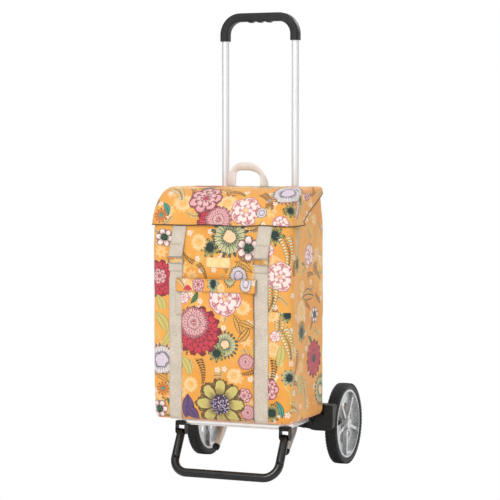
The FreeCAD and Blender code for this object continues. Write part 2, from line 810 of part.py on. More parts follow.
# The stand is drawn upright, then leans so that its foot bar lies on the floor ahead of the shelf.
leg_top = "stand_length - eye_neck"
stand = swept_tube(
    "StandLoop",
    "XZ_Plane", 0,
    [
        ("-shelf_x", leg_top),
        ("-shelf_x", 0, "stand_bend"),
        ("shelf_x", 0, "stand_bend"),
        ("shelf_x", leg_top),
    ],
    "XY_Plane", leg_top,
    ("-shelf_x", 0),
    "stand_tube_radius", "stand_tube_radius - tube_wall",
)
lean = "-atan2(stand_run; stand_rise)"
foot_at = {"y": "tube_y - stand_reach", "z": "stand_tube_radius"}
part("stand_loop", turned_place(stand, (1, 0, 0), lean, **foot_at), moved=False)

for word, side in SIDES.items():
    tongue = slab(f"Tongue_{word}", "YZ_Plane", rectangle(
        "-tongue_reach", "tongue_reach", leg_top, "stand_length + tongue_reach", "tongue_round",
    ), f"{side} * shelf_x - tongue_width / 2", f"{side} * shelf_x + tongue_width / 2")
    root = block(f"TongueRoot_{word}",
                 (f"{side} * shelf_x - tongue_width / 2", f"{side} * shelf_x + tongue_width / 2"),
                 ("-stand_tube_radius / 2", "stand_tube_radius / 2"), (leg_top, "stand_length"))
    stem = cylinder(f"TongueStem_{word}", "stand_tube_radius - tube_wall", "plug_stem",
                    x=f"{side} * shelf_x", z=f"{leg_top} - plug_stem")
    hole = cylinder(f"TongueHole_{word}", "pin_radius + running_clearance", "tongue_width",
                    x=f"{side} * shelf_x - tongue_width / 2", z="stand_length", along="x")
    tip = without(f"StandTip_{word}", joined(f"StandTipWhole_{word}", tongue, root, stem), hole)
    part(f"stand_tip_{word}", turned_place(tip, (1, 0, 0), lean, **foot_at), moved=False)

# ---------------------------------------------------------------- bag


def bag_form(name, inset, low, high, open_back=0):
    """The bag's upright block: rounded corners in plan, drawn in from the bag's skin by an inset."""
    return slab(name, "XY_Plane", rectangle(
        f"-(bag_width / 2 - ({inset}))", f"bag_width / 2 - ({inset})",
        f"-(bag_front - ({inset}))", f"-(bag_back + ({inset})) + {open_back}",
        f"bag_corner - ({inset})",
    ), low, high)


def bag_side(name, inset, back, bottom, top, foot):
    """The bag's side view, right across its width, with a rounded front top."""
    front = f"-(bag_front - ({inset}))"
    return slab(name, "YZ_Plane", [
        (back, bottom, foot),
        (back, top),
        (front, top, f"cover_round - cover_gap - cover_wall - ({inset})"),
        (front, bottom, foot),
    ], "-bag_width", "bag_width")


skin = "-(cover_gap + cover_wall)"
outer = shared(
    "BagOuter",
    bag_form("BagForm", 0, "bag_bottom", "bag_top"),
    bag_side("BagSide", 0, "-bag_back", "bag_bottom", "cover_top - cover_wall - cover_gap", "bag_foot_round"),
)
inner = bag_form("BagInner", "bag_wall", "bag_bottom + bag_wall", "bag_top + 60")
part("bag_body", without("Bag", outer, inner))

board = bag_form("BaseBoard", "bag_wall + bag_foot_round / 2", "bag_bottom + bag_wall",
                 "bag_bottom + bag_wall + board_wall")
part("base_board", board)

strap_back, strap_face = "bag_front", "bag_front + strap_wall"
straps = {
    word: (f"detail_shift + {side} * strap_spacing / 2 - strap_width / 2",
           f"detail_shift + {side} * strap_spacing / 2 + strap_width / 2")
    for word, side in SIDES.items()
}
for word, (low, high) in straps.items():
    strap = slab(f"LowerStrap_{word}", "XZ_Plane", rectangle(low, high, "strap_bottom", "strap_top"),
                 strap_back, strap_face)
    part(f"lower_strap_{word}", strap)

tail = slab("StrapTail", "XZ_Plane", rectangle(
    f"{straps['left'][1]} - tail_width", straps["left"][1], "tail_bottom", "pocket_top",
), strap_face, "bag_front + 2 * strap_wall")
part("strap_tail", tail)

pocket_low, pocket_high = "detail_shift - pocket_width / 2", "detail_shift + pocket_width / 2"
pocket_box = slab("PocketBox", "XZ_Plane", rectangle(pocket_low, pocket_high, "pocket_bottom", "pocket_top"),
                  "bag_front", "pocket_front")
pocket_room = slab("PocketRoom", "XZ_Plane", rectangle(
    f"{pocket_low} + pocket_wall", f"{pocket_high} - pocket_wall",
    "pocket_bottom + pocket_wall", "pocket_top + 5",
), "bag_front + pocket_wall", "pocket_front - pocket_wall")
part("front_pocket", without("Pocket", pocket_box, pocket_room))

label = slab("Label", "XZ_Plane", rectangle(
    "detail_shift - label_width / 2", "detail_shift + label_width / 2",
    "label_bottom", "label_bottom + label_height", 2,
), "bag_front", "bag_front + label_wall")
part("blank_label", label)

# Two moulded hooks on the back of the bag hang on the brace and lift straight off it.
hook_inner = "brace_bar / 2 + skin_gap"
hook_top = "brace_height + brace_depth / 2 + skin_gap"
hooks = []
for word, side in SIDES.items():
    low = f"{side} * hook_spacing / 2 - hook_width / 2"
    high = f"{side} * hook_spacing / 2 + hook_width / 2"
    hooks.append(slab(f"Hook_{word}", "YZ_Plane", [
        ("-bag_back", "brace_height - brace_depth"),
        (f"-({hook_inner})", "brace_height - brace_depth"),
        (f"-({hook_inner})", hook_top),
        (hook_inner, hook_top),
        (hook_inner, f"{hook_top} - hook_drop"),
        (f"{hook_inner} + hook_wall", f"{hook_top} - hook_drop"),
        (f"{hook_inner} + hook_wall", f"{hook_top} + hook_wall", 2),
        ("-bag_back", f"{hook_top} + hook_wall"),
    ], low, high))
part("bag_hooks", group("BagHooks", *hooks))

# ---------------------------------------------------------------- cover flap

cover_outer = shared(
    "CoverOuter",
    bag_form("CoverForm", skin, "cover_edge - 20", "cover_top", open_back="-6"),
    slab("CoverSide", "YZ_Plane", [
        ("-bag_back", "cover_top - 6"),
        ("-bag_back", "cover_top"),
        ("-cover_front", "cover_top", "cover_round"),
        ("-cover_front", "cover_edge"),
        ("-cover_side_reach - 20", "cover_edge"),
        ("-cover_side_reach", "cover_edge + 6"),
        ("-bag_back - 22", "cover_top - 11"),
    ], "-bag_width", "bag_width"),
)
cover_inner = shared(
    "CoverInner",
    bag_form("CoverRoom", "-cover_gap", "cover_edge - 30", "cover_top - cover_wall", open_back="60"),
    slab("CoverRoomSide", "YZ_Plane", [
        (60, "cover_edge - 30"),
        (60, "cover_top - cover_wall"),
        ("-(bag_front + cover_gap)", "cover_top - cover_wall", "cover_round - cover_wall"),
        ("-(bag_front + cover_gap)", "cover_edge - 30"),
    ], "-bag_width", "bag_width"),
)
part("cover_flap", without("Cover", cover_outer, cover_inner))

ring_top = "ring_bottom + ring_height"
face_back = "bag_front + cover_gap"
for word, side in SIDES.items():
    middle = f"detail_shift + {side} * strap_spacing / 2"
    half = "strap_width / 2"
    strap = slab(f"UpperStrap_{word}", "XZ_Plane", [
        (f"{middle} - {half}", ring_top),
        (f"{middle} + {half}", ring_top),
        (f"{middle} + {half} + strap_lean", "cover_edge"),
        (f"{middle} - {half} + strap_lean", "cover_edge"),
    ], f"{face_back} + skin_gap", f"{face_back} + skin_gap + strap_wall")
    part(f"upper_strap_{word}", strap)
    ring_half = "strap_width / 2 + ring_overhang"
    ring = slab(f"RingOuter_{word}", "XZ_Plane", rectangle(
        f"{middle} - ({ring_half})", f"{middle} + {ring_half}", "ring_bottom", ring_top, 2.5,
    ), f"{face_back} + 2 * skin_gap", f"{face_back} + 2 * skin_gap + ring_wire")
    opening = slab(f"RingHole_{word}", "XZ_Plane", rectangle(
        f"{middle} - ({ring_half} - ring_wire)", f"{middle} + {ring_half} - ring_wire",
        "ring_bottom + ring_wire", f"{ring_top} - ring_wire",
    ), face_back, f"{face_back} + 2 * (skin_gap + ring_wire)")
    part(f"strap_ring_{word}", without(f"Ring_{word}", ring, opening))

loop_outer = slab("LoopOuter", "XZ_Plane", [
    ("-loop_width / 2", "cover_top"),
    ("loop_width / 2", "cover_top"),
    ("loop_width / 2", "cover_top + loop_rise", "loop_round"),
    ("-loop_width / 2", "cover_top + loop_rise", "loop_round"),
], "loop_reach - loop_band / 2", "loop_reach + loop_band / 2")
loop_room = slab("LoopRoom", "XZ_Plane", [
    ("-loop_width / 2 + loop_wall", "cover_top - 5"),
    ("loop_width / 2 - loop_wall", "cover_top - 5"),
    ("loop_width / 2 - loop_wall", "cover_top + loop_rise - loop_wall", "loop_round - loop_wall"),
    ("-loop_width / 2 + loop_wall", "cover_top + loop_rise - loop_wall", "loop_round - loop_wall"),
], "loop_reach - loop_band", "loop_reach + loop_band")
part("carry_handle", without("CarryHandle", loop_outer, loop_room))

# ---------------------------------------------------------------- pocket flap

flap_front = "pocket_front + skin_gap + pocket_wall"
flap_edge = "bag_front + strap_wall + skin_gap"
flap = slab("PocketFlap", "YZ_Plane", [
    (f"-({flap_edge})", "pocket_cover_top - pocket_wall"),
    (f"-({flap_edge})", "pocket_cover_top"),
    (f"-({flap_front})", "pocket_cover_top", 2.5),
    (f"-({flap_front})", "pocket_cover_top - pocket_cover_drop"),
    ("-(pocket_front + skin_gap)", "pocket_cover_top - pocket_cover_drop"),
    ("-(pocket_front + skin_gap)", "pocket_cover_top - pocket_wall"),
], "detail_shift - 4 - pocket_cover_width / 2", "detail_shift - 4 + pocket_cover_width / 2")
part("pocket_flap", flap)

# ---------------------------------------------------------------- checks and export

doc.recompute()
faults = [thing.Name for thing in doc.Objects if {"Invalid", "Error"} & set(thing.State)]
if faults:
    raise RuntimeError(f"These objects failed: {faults}")
for made in PARTS:
    if made.Shape.isNull() or not made.Shape.isValid() or not made.Shape.Solids:
        raise RuntimeError(f"{made.Label} has no sound shape")

os.makedirs("parts", exist_ok=True)
for made in PARTS:
    made.Shape.exportStep(f"parts/{made.Label}.step")
print(f"{len(PARTS)} pieces written")
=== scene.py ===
"""A shopping trolley on two wheels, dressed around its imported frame: metres, X right, Y back, Z up."""

import math

import bpy
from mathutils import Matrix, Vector, noise


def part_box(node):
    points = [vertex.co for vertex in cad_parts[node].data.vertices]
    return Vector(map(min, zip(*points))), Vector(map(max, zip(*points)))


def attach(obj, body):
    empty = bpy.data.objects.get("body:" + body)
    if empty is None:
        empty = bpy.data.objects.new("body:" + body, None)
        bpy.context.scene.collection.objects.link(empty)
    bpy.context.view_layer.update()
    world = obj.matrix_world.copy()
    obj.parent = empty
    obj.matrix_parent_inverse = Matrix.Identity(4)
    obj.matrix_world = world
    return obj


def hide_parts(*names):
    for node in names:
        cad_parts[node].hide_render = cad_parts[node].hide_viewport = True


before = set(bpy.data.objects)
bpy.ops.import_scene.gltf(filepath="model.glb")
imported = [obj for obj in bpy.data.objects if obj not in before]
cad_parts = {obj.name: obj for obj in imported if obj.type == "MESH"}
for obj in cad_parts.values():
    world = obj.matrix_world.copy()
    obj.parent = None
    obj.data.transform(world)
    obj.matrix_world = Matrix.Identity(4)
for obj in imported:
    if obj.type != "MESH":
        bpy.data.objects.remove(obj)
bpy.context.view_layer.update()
SIDES = {"left": -1, "right": 1}


def span(node):
    """The lowest and highest corners of a frame part."""
    return [Vector(corner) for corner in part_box(node)]


TUBE_LOW, TUBE_HIGH = span("handle_tube_left")
TUBE_Y = TUBE_HIGH.y - (TUBE_HIGH.x - TUBE_LOW.x) / 2  # the plane of the two handle tubes

# ---------------------------------------------------------------- the studio
# A long lens looks from the front right, a little above the bag. A pale floor runs back under plain soft
# light: a soft box in front and above, a weak one on the right, and one behind.

CAMERA_TURN = math.radians(22.47)
CAMERA_DROP = math.radians(3.194)
CAMERA_FAR = 4.6136
AIM = Vector((-0.0271, TUBE_Y, 0.53018))

lens = bpy.data.cameras.new("camera")
lens.lens, lens.sensor_width = 134.92, 36


def put(name, data):
    """A new object in the scene."""
    made = bpy.data.objects.new(name, data)
    bpy.context.scene.collection.objects.link(made)
    return made


camera = put("camera", lens)
look = Vector((
    -math.sin(CAMERA_TURN) * math.cos(CAMERA_DROP),
    math.cos(CAMERA_TURN) * math.cos(CAMERA_DROP),
    -math.sin(CAMERA_DROP),
))
camera.location = AIM - look * CAMERA_FAR
camera.rotation_euler = look.to_track_quat("-Z", "Y").to_euler()
bpy.context.scene.camera = camera
bpy.context.scene.view_settings.view_transform = "Standard"

world = bpy.data.worlds.new("studio")
bpy.context.scene.world = world
world.use_nodes = True


def soft_light(name, place, size, power, aim=(0, 0, 0.5)):
    """A square soft box that faces the trolley."""
    lamp = bpy.data.lights.new(name, "AREA")
    lamp.size, lamp.energy = size, power
    made = put(name, lamp)
    made.location = place
    made.rotation_euler = (Vector(aim) - made.location).to_track_quat("-Z", "Y").to_euler()


soft_light("key", (-0.4, -3.2, 2.3), 1.4, 56)
soft_light("fill", (2.8, -1.0, 1.6), 1.6, 7)
soft_light("rim", (0.8, 2.4, 2.2), 1.2, 22)


def add(tree, kind, inputs=None, **settings):
    """A shader or geometry node, with its settings, and its inputs set or linked by name or number."""
    node = tree.nodes.new(kind)
    for key, value in settings.items():
        setattr(node, key, value)
    for key, value in (inputs or {}).items():
        if isinstance(value, bpy.types.NodeSocket):
            tree.links.new(value, node.inputs[key])
        else:
            node.inputs[key].default_value = value
    return node


def calc(tree, operation, *values):
    """One step of arithmetic."""
    return add(tree, "ShaderNodeMath", dict(enumerate(values)), operation=operation).outputs[0]


def stretched(tree, value, low, high, least=0.0, most=1.0):
    """A value that runs from low to high, stretched to run from least to most."""
    return add(tree, "ShaderNodeMapRange", {0: value, 1: low, 2: high, 3: least, 4: most}).outputs[0]


def mixed(tree, factor, first, second, blend="MIX"):
    """One colour laid over another."""
    node = add(tree, "ShaderNodeMix", {0: factor, 6: first, 7: second}, data_type="RGBA", blend_type=blend)
    return node.outputs[2]


def ink(red, green, blue):
    """A colour given as a printer's 0 to 255 values."""
    steps = [value / 255 for value in (red, green, blue)]
    return (*[c / 12.92 if c <= 0.04045 else ((c + 0.055) / 1.055) ** 2.4 for c in steps], 1.0)


def finish_with(name, colour, roughness, metallic=0.0, bump=None, **sockets):
    """A material whose colour and roughness are numbers or node sockets; bump is (height, distance)."""
    material = bpy.data.materials.new(name)
    material.use_nodes = True
    tree = material.node_tree
    shader = tree.nodes["Principled BSDF"]
    for key, value in {"Base Color": colour, "Roughness": roughness, "Metallic": metallic, **sockets}.items():
        value = value(tree) if callable(value) else value
        if isinstance(value, bpy.types.NodeSocket):
            tree.links.new(value, shader.inputs[key])
        else:
            shader.inputs[key].default_value = value
    if bump:
        height, distance = bump
        raised = add(tree, "ShaderNodeBump", {"Strength": 1.0, "Distance": distance, "Height": height(tree)})
        tree.links.new(raised.outputs["Normal"], shader.inputs["Normal"])
    return material


def speckle(scale, detail=3.0, stretch=(1, 1, 1)):
    """A fine noise in the piece's own space, stretched along an axis for grain or brushing."""

    def build(tree):
        place = add(tree, "ShaderNodeTexCoord").outputs["Object"]
        turned = add(tree, "ShaderNodeMapping", {"Vector": place, "Scale": stretch}).outputs[0]
        return add(
            tree, "ShaderNodeTexNoise", {"Vector": turned, "Scale": scale, "Detail": detail},
        ).outputs[0]

    return build


def shades(source, dark, light, low=0.3, high=0.7):
    """Colour from a noise: dark at its low value, light at its high value."""

    def build(tree):
        return mixed(tree, stretched(tree, source(tree), low, high), dark, light)

    return build


def steps_between(source, least, most, low=0.3, high=0.7):
    """A roughness or height from a noise, stretched to run from least to most."""

    def build(tree):
        return stretched(tree, source(tree), low, high, least, most)

    return build


sky = world.node_tree
facing = add(sky, "ShaderNodeSeparateXYZ", {0: add(sky, "ShaderNodeTexCoord").outputs["Generated"]}).outputs
grade = stretched(sky, facing[2], -0.1, 0.9, 0.34, 1.15)
aside = stretched(sky, calc(sky, "ABSOLUTE", facing[0]), 0.6, 0.85, 1.1, 0.4)
grade = calc(sky, "MULTIPLY", grade, aside)
seen = add(sky, "ShaderNodeLightPath").outputs["Is Camera Ray"]
sky.nodes["Background"].inputs["Color"].default_value = (1, 1, 1, 1)
sky.links.new(calc(sky, "MAXIMUM", grade, seen), sky.nodes["Background"].inputs["Strength"])

floor_paint = finish_with("studio floor", shades(speckle(3), ink(252, 252, 252), ink(255, 255, 255)), 0.6)
bpy.ops.mesh.primitive_plane_add(size=40, location=(0, 8, -0.0005))
studio_floor = bpy.context.object
studio_floor.name = "studio_floor"
studio_floor.data.materials.append(floor_paint)
studio_floor.visible_camera = False

# ---------------------------------------------------------------- handle tubes and shelf
# Drawn aluminium tube, bent cold and anodised to a satin silver. Drawing leaves faint lines along it.


def dress(material, *nodes):
    """Gives frame parts that keep their own shape their finish."""
    for node in nodes:
        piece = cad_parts[node]
        piece.data.materials.clear()
        piece.data.materials.append(material)
        for face in piece.data.polygons:
            face.material_index = 0


anodised = finish_with(
    "anodised aluminium",
    shades(speckle(60, stretch=(1, 1, 0.05)), (0.86, 0.865, 0.87, 1), (0.93, 0.93, 0.93, 1)),
    steps_between(speckle(220, stretch=(1, 1, 0.03)), 0.32, 0.42),
    metallic=0.7,
    bump=(speckle(700, 2, (1, 1, 0.02)), 0.00001),
)
dress(anodised, "handle_tube_left", "handle_tube_right", "shelf_cross_bar", "shelf_loop")

# ---------------------------------------------------------------- black mouldings
# Grip, brackets, braces and plugs are glass-filled nylon, moulded with a fine leather-like grain.

black_moulding = finish_with(
    "grained black nylon",
    shades(speckle(25), (0.006, 0.006, 0.0062, 1), (0.012, 0.012, 0.0125, 1)),
    steps_between(speckle(180), 0.38, 0.52),
    bump=(speckle(1400, 4), 0.00012),
    **{"Specular IOR Level": 0.3},
)
dress(
    black_moulding, "grip", "upper_brace", "bag_hooks",
    *(f"{node}_{word}" for word in SIDES for node in (
        "skid_plug", "axle_bracket", "shelf_eye", "stand_bracket", "stand_tip",
    )),
)

# ---------------------------------------------------------------- small steel parts
# Zinc-plated pins, axle, clips, screws and bearings.

zinc = finish_with(
    "zinc plate",
    shades(speckle(140), (0.5, 0.51, 0.53, 1), (0.66, 0.66, 0.64, 1), low=0.35, high=0.65),
    steps_between(speckle(320), 0.26, 0.42),
    metallic=1.0,
    bump=(speckle(800, 2), 0.00004),
)
dress(
    zinc, "brace_screws", "bracket_rivets", "axle", "axle_clips",
    *(
        f"{node}_{word}" for word in SIDES
        for node in ("shelf_pin", "stand_pin", "bearing_inner", "bearing_outer")
    ),
)

# ---------------------------------------------------------------- stand
# One steel tube bent to a U and coated in gloss black enamel, with a slight orange-peel.

enamel = finish_with(
    "gloss black enamel",
    shades(speckle(30), (0.003, 0.003, 0.0032, 1), (0.006, 0.006, 0.0062, 1)),
    steps_between(speckle(90), 0.14, 0.26),
    bump=(speckle(420, 2), 0.00008),
)


def rod(name, route, radius, material, closed=False, sides=10):
    """A round bar swept along a route of points."""
    route = [Vector(point) for point in route]
    count = len(route)
    ring_points, turned = [], None
    for step, point in enumerate(route):
        before = route[step - 1] if closed or step else point
        after = route[(step + 1) % count] if closed or step + 1 < count else point
        ahead = (after - before).normalized()
        if turned is None:
            turned = ahead.orthogonal().normalized()
        turned = (turned - ahead * turned.dot(ahead)).normalized()
        across = ahead.cross(turned)
        for side in range(sides):
            angle = 2 * math.pi * side / sides
            ring_points.append(point + (turned * math.cos(angle) + across * math.sin(angle)) * radius)
    faces = []
    for step in range(count if closed else count - 1):
        for side in range(sides):
            nearby, following = step * sides, (step + 1) % count * sides
            faces.append(
                (nearby + side, nearby + (side + 1) % sides, following + (side + 1) % sides, following + side)
            )
    if not closed:
        faces.append(list(reversed(range(sides))))
        faces.append(list(range((count - 1) * sides, count * sides)))
    mesh = bpy.data.meshes.new(name)
    mesh.from_pydata([tuple(point) for point in ring_points], [], faces)
    mesh.shade_smooth()
    mesh.materials.append(material)
    return put(name, mesh)


stand_low = span("stand_loop")[0]
pin_low, pin_high = span("stand_pin_right")
stand_thick = 0.0102
pivot = (pin_low + pin_high) / 2
foot = Vector((pivot.x, stand_low.y + stand_thick, stand_thick))
leg = (foot - pivot).normalized()
bend = 0.036
right_side = [pivot + (foot - pivot) * step / 10 for step in range(8)]
for step in range(13):
    angle = math.radians(7.5 * step)
    centre = foot - leg * bend + Vector((-bend, 0, 0))
    right_side.append(centre + Vector((math.cos(angle), 0, 0)) * bend + leg * bend * math.sin(angle))
stand_route = right_side + [Vector((-p.x, p.y, p.z)) for p in reversed(right_side)]
stand_tube = rod("stand_tube", stand_route, stand_thick, enamel, sides=28)
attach(stand_tube, "stand")
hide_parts("stand_loop", "stand_tip_left", "stand_tip_right")

HANGER_ROUND, HANGER_DEEP, HANGER_TOP, WEB_FOOT = 0.0105, 0.0085, 0.0225, 0.0125
CHEEK_IN, CHEEK_OUT = 0.0112, 0.0126  # two cheeks hold the tube's end between them, so that it can turn
for word, side in SIDES.items():
    top = Vector((side * pivot.x, pivot.y, pivot.z))
    turns = [math.pi * step / 16 for step in range(17)]
    cheek = [(HANGER_ROUND * math.cos(angle), -HANGER_ROUND * math.sin(angle)) for angle in turns]
    cheek += [(-HANGER_DEEP, HANGER_TOP), (HANGER_DEEP, HANGER_TOP)]
    corners, faces = [], []
    web = [
        (HANGER_DEEP, WEB_FOOT), (-HANGER_DEEP, WEB_FOOT), (-HANGER_DEEP, HANGER_TOP),
        (HANGER_DEEP, HANGER_TOP),
    ]
    for outline, inner, outer in (
        (cheek, -CHEEK_OUT, -CHEEK_IN), (web, -CHEEK_IN, CHEEK_IN), (cheek, CHEEK_IN, CHEEK_OUT),
    ):
        start, count = len(corners), len(outline)
        corners += [tuple(top + Vector((x, y, z))) for x in (inner, outer) for y, z in outline]
        faces.append([start + step for step in range(count)])
        faces.append([start + count + step for step in reversed(range(count))])
        for step in range(count):
            following = (step + 1) % count
            faces.append((start + following, start + step, start + count + step, start + count + following))
    mesh = bpy.data.meshes.new(f"stand_hanger_{word}")
    mesh.from_pydata(corners, [], faces)
    mesh.materials.append(black_moulding)
    hanger = put(f"stand_hanger_{word}", mesh)
    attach(hanger, "shelf")
    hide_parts(f"stand_bracket_{word}")

# ---------------------------------------------------------------- wheels
# Rims and hub caps are moulded in silver-grey nylon; the tyres are solid rubber.

silver_moulding = finish_with(
    "silver nylon",
    shades(speckle(60), (0.44, 0.445, 0.45, 1), (0.56, 0.565, 0.57, 1)),
    steps_between(speckle(200), 0.24, 0.34),
    metallic=0.85,
    bump=(speckle(260, 3), 0.00001),
)
rubber = finish_with(
    "tyre rubber",
    shades(speckle(60), (0.006, 0.006, 0.006, 1), (0.012, 0.012, 0.012, 1)),
    steps_between(speckle(300), 0.42, 0.56),
    bump=(speckle(700, 4), 0.00012),
    **{"Specular IOR Level": 0.3},
)
for word in SIDES:
    dress(silver_moulding, f"rim_{word}", f"hub_cap_{word}")


def repeat_tree(name, shape, centred=False):
    """Geometry nodes that set a small shape along a line at a pitch: size is its length, width and height."""
    tree = bpy.data.node_groups.new(name, "GeometryNodeTree")
    for way, sockets in (
        ("INPUT", {"Geometry": "Geometry", "Pitch": "Float", "Size": "Vector", "Centre": "Vector",
                   "Material": "Material"}),
        ("OUTPUT", {"Geometry": "Geometry"}),
    ):
        for key, kind in sockets.items():
            tree.interface.new_socket(key, in_out=way, socket_type=f"NodeSocket{kind}")
    given = tree.nodes.new("NodeGroupInput").outputs
    line = add(tree, "GeometryNodeMeshToCurve", {"Mesh": given["Geometry"]}).outputs[0]
    spaced = add(tree, "GeometryNodeResampleCurve", {"Curve": line, "Length": given["Pitch"]}, mode="LENGTH")
    small = add(tree, shape).outputs[0]
    sized = add(tree, "GeometryNodeTransform", {"Geometry": small, "Scale": given["Size"]}).outputs[0]
    ahead = add(tree, "GeometryNodeInputTangent").outputs[0]
    turn = add(tree, "FunctionNodeAlignRotationToVector", {"Vector": ahead}, axis="X").outputs[0]
    if centred:
        place = add(tree, "GeometryNodeInputPosition").outputs[0]
        out = add(
            tree, "ShaderNodeVectorMath", {0: place, 1: given["Centre"]}, operation="SUBTRACT",
        ).outputs[0]
        flat = add(tree, "ShaderNodeVectorMath", {0: out, 1: (0, 1, 1)}, operation="MULTIPLY").outputs[0]
        turn = add(tree, "FunctionNodeAlignRotationToVector", {"Rotation": turn, "Vector": flat},
                   axis="Z", pivot_axis="X").outputs[0]
    placed = add(tree, "GeometryNodeInstanceOnPoints", {
        "Points": spaced.outputs[0], "Instance": sized, "Rotation": turn,
    }).outputs[0]
    real = add(tree, "GeometryNodeRealizeInstances", {"Geometry": placed}).outputs[0]
    coated = add(
        tree, "GeometryNodeSetMaterial", {"Geometry": real, "Material": given["Material"]},
    ).outputs[0]
    tree.links.new(coated, tree.nodes.new("NodeGroupOutput").inputs[0])
    return tree


def repeated(name, tree, lines, pitch, size, material, centre=(0, 0, 0)):
    """Runs a repeat tree over lines, each (points, closed), and returns the finished mesh object."""
    points, edges = [], []
    for line, closed in lines:
        first = len(points)
        points += [tuple(point) for point in line]
        edges += [(first + step, first + step + 1) for step in range(len(line) - 1)]
        if closed:
            edges.append((first + len(line) - 1, first))
    mesh = bpy.data.meshes.new(name)
    mesh.from_pydata(points, edges, [])
    guide = put(name + "_guide", mesh)
    live = guide.modifiers.new("repeat", "NODES")
    live.node_group = tree
    values = {"Pitch": pitch, "Size": size, "Centre": centre, "Material": material}
    for socket in tree.interface.items_tree:
        if socket.in_out == "INPUT" and socket.name in values:
            live[socket.identifier] = values[socket.name]
    bpy.context.view_layer.update()
    ready = guide.evaluated_get(bpy.context.evaluated_depsgraph_get())
    made = put(name, bpy.data.meshes.new_from_object(ready))
    guide.modifiers.remove(live)
    bpy.data.objects.remove(guide)
    return made


tread_tree = repeat_tree("tread blocks", "GeometryNodeMeshCube", centred=True)
TREAD_PITCH, TREAD_SIZE = 0.0086, (0.0058, 0.0054, 0.0016)
TYRE_SECTION = (
    (-12.5, 84), (-13.9, 86), (-14.7, 90.5), (-14.3, 94.5), (-12.8, 97.4), (-10, 98.6), (0, 98.9),
    (10, 98.6), (12.8, 97.4), (14.3, 94.5), (14.7, 90.5), (13.9, 86), (12.5, 84), (0, 83.9),
)
for word in SIDES:
    low, high = span(f"tyre_{word}")
    hub = (low + high) / 2
    scale = (high.z - low.z) / 0.2
    points, faces, around, across = [], [], 128, len(TYRE_SECTION)
    for step in range(around):
        angle = 2 * math.pi * step / around
        for x, radius in TYRE_SECTION:
            reach = radius / 1000 * scale
            points.append(
                (hub.x + x / 1000, hub.y + math.cos(angle) * reach, hub.z + math.sin(angle) * reach)
            )
    for step in range(around):
        for place in range(across):
            near, far = step * across, (step + 1) % around * across
            faces.append((near + place, near + (place + 1) % across, far + (place + 1) % across, far + place))
    mesh = bpy.data.meshes.new(f"tyre_tread_{word}")
    mesh.from_pydata(points, [], faces)
    mesh.flip_normals()
    mesh.shade_smooth()
    mesh.materials.append(rubber)
    tyre = put(f"tyre_body_{word}", mesh)
    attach(tyre, f"wheel_{word}")
    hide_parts(f"tyre_{word}")
    rows = []
    for index, shift in enumerate((-10.8, -3.6, 3.6, 10.8)):
        reach = (0.0990 - 0.0004 * (abs(shift) > 6)) * scale
        line = []
        for step in range(180):
            angle = math.radians(2 * step + (2.6 if index % 2 else 0))
            line.append(
                (hub.x + shift / 1000, hub.y + math.cos(angle) * reach, hub.z + math.sin(angle) * reach)
            )
        rows.append((line, True))
    tread = repeated(f"tread_{word}", tread_tree, rows, TREAD_PITCH, TREAD_SIZE, rubber, tuple(hub))
    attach(tread, f"wheel_{word}")

# ---------------------------------------------------------------- flower print
# The bag's coated polyester is printed before it is cut: an orange ground with blooms, leaves and sprigs.
# Every motif is a node group that draws one flower round a point of the cloth, in metres.

ORANGE, AMBER, PEACH = ink(242, 162, 56), ink(248, 184, 86), ink(252, 214, 156)
CREAM, LEMON, OLIVE = ink(244, 234, 184), ink(222, 208, 124), ink(178, 164, 84)
BLUSH, PINK, ROSE = ink(252, 228, 222), ink(238, 150, 162), ink(206, 74, 100)
RED, WINE, LILAC = ink(214, 48, 62), ink(112, 26, 46), ink(220, 208, 232)
VIOLET, AUBERGINE, TEAL = ink(112, 78, 138), ink(60, 36, 68), ink(92, 176, 156)
LEAF, PINE, BARK = ink(84, 138, 86), ink(10, 46, 38), ink(88, 54, 16)
MAUVE = ink(202, 104, 118)
BLACK, WHITE, FLAME = ink(34, 30, 34), ink(253, 250, 246), ink(236, 112, 56)


def new_group(name, inputs, outputs):
    """An empty shader group with named sockets; returns the tree, its inputs and its output node."""
    tree = bpy.data.node_groups.new(name, "ShaderNodeTree")
    for way, sockets in (("INPUT", inputs), ("OUTPUT", outputs)):
        for key, kind in sockets.items():
            tree.interface.new_socket(key, in_out=way, socket_type=f"NodeSocket{kind}")
    return tree, tree.nodes.new("NodeGroupInput").outputs, tree.nodes.new("NodeGroupOutput").inputs


def turned_local(tree, cloth, middle, size, turn):
    """Where a point of the cloth lies from a motif's middle, in the motif's own size and turn."""
    away = add(tree, "ShaderNodeVectorMath", {0: cloth, 1: middle}, operation="SUBTRACT").outputs[0]
    spun = add(
        tree, "ShaderNodeVectorRotate", {"Vector": away, "Angle": turn}, rotation_type="Z_AXIS",
    ).outputs[0]
    small = calc(tree, "DIVIDE", 1.0, size)
    sized = add(tree, "ShaderNodeVectorMath", {0: spun, "Scale": small}, operation="SCALE").outputs[0]
    parts = add(tree, "ShaderNodeSeparateXYZ", {0: sized}).outputs
    return sized, parts[0], parts[1]


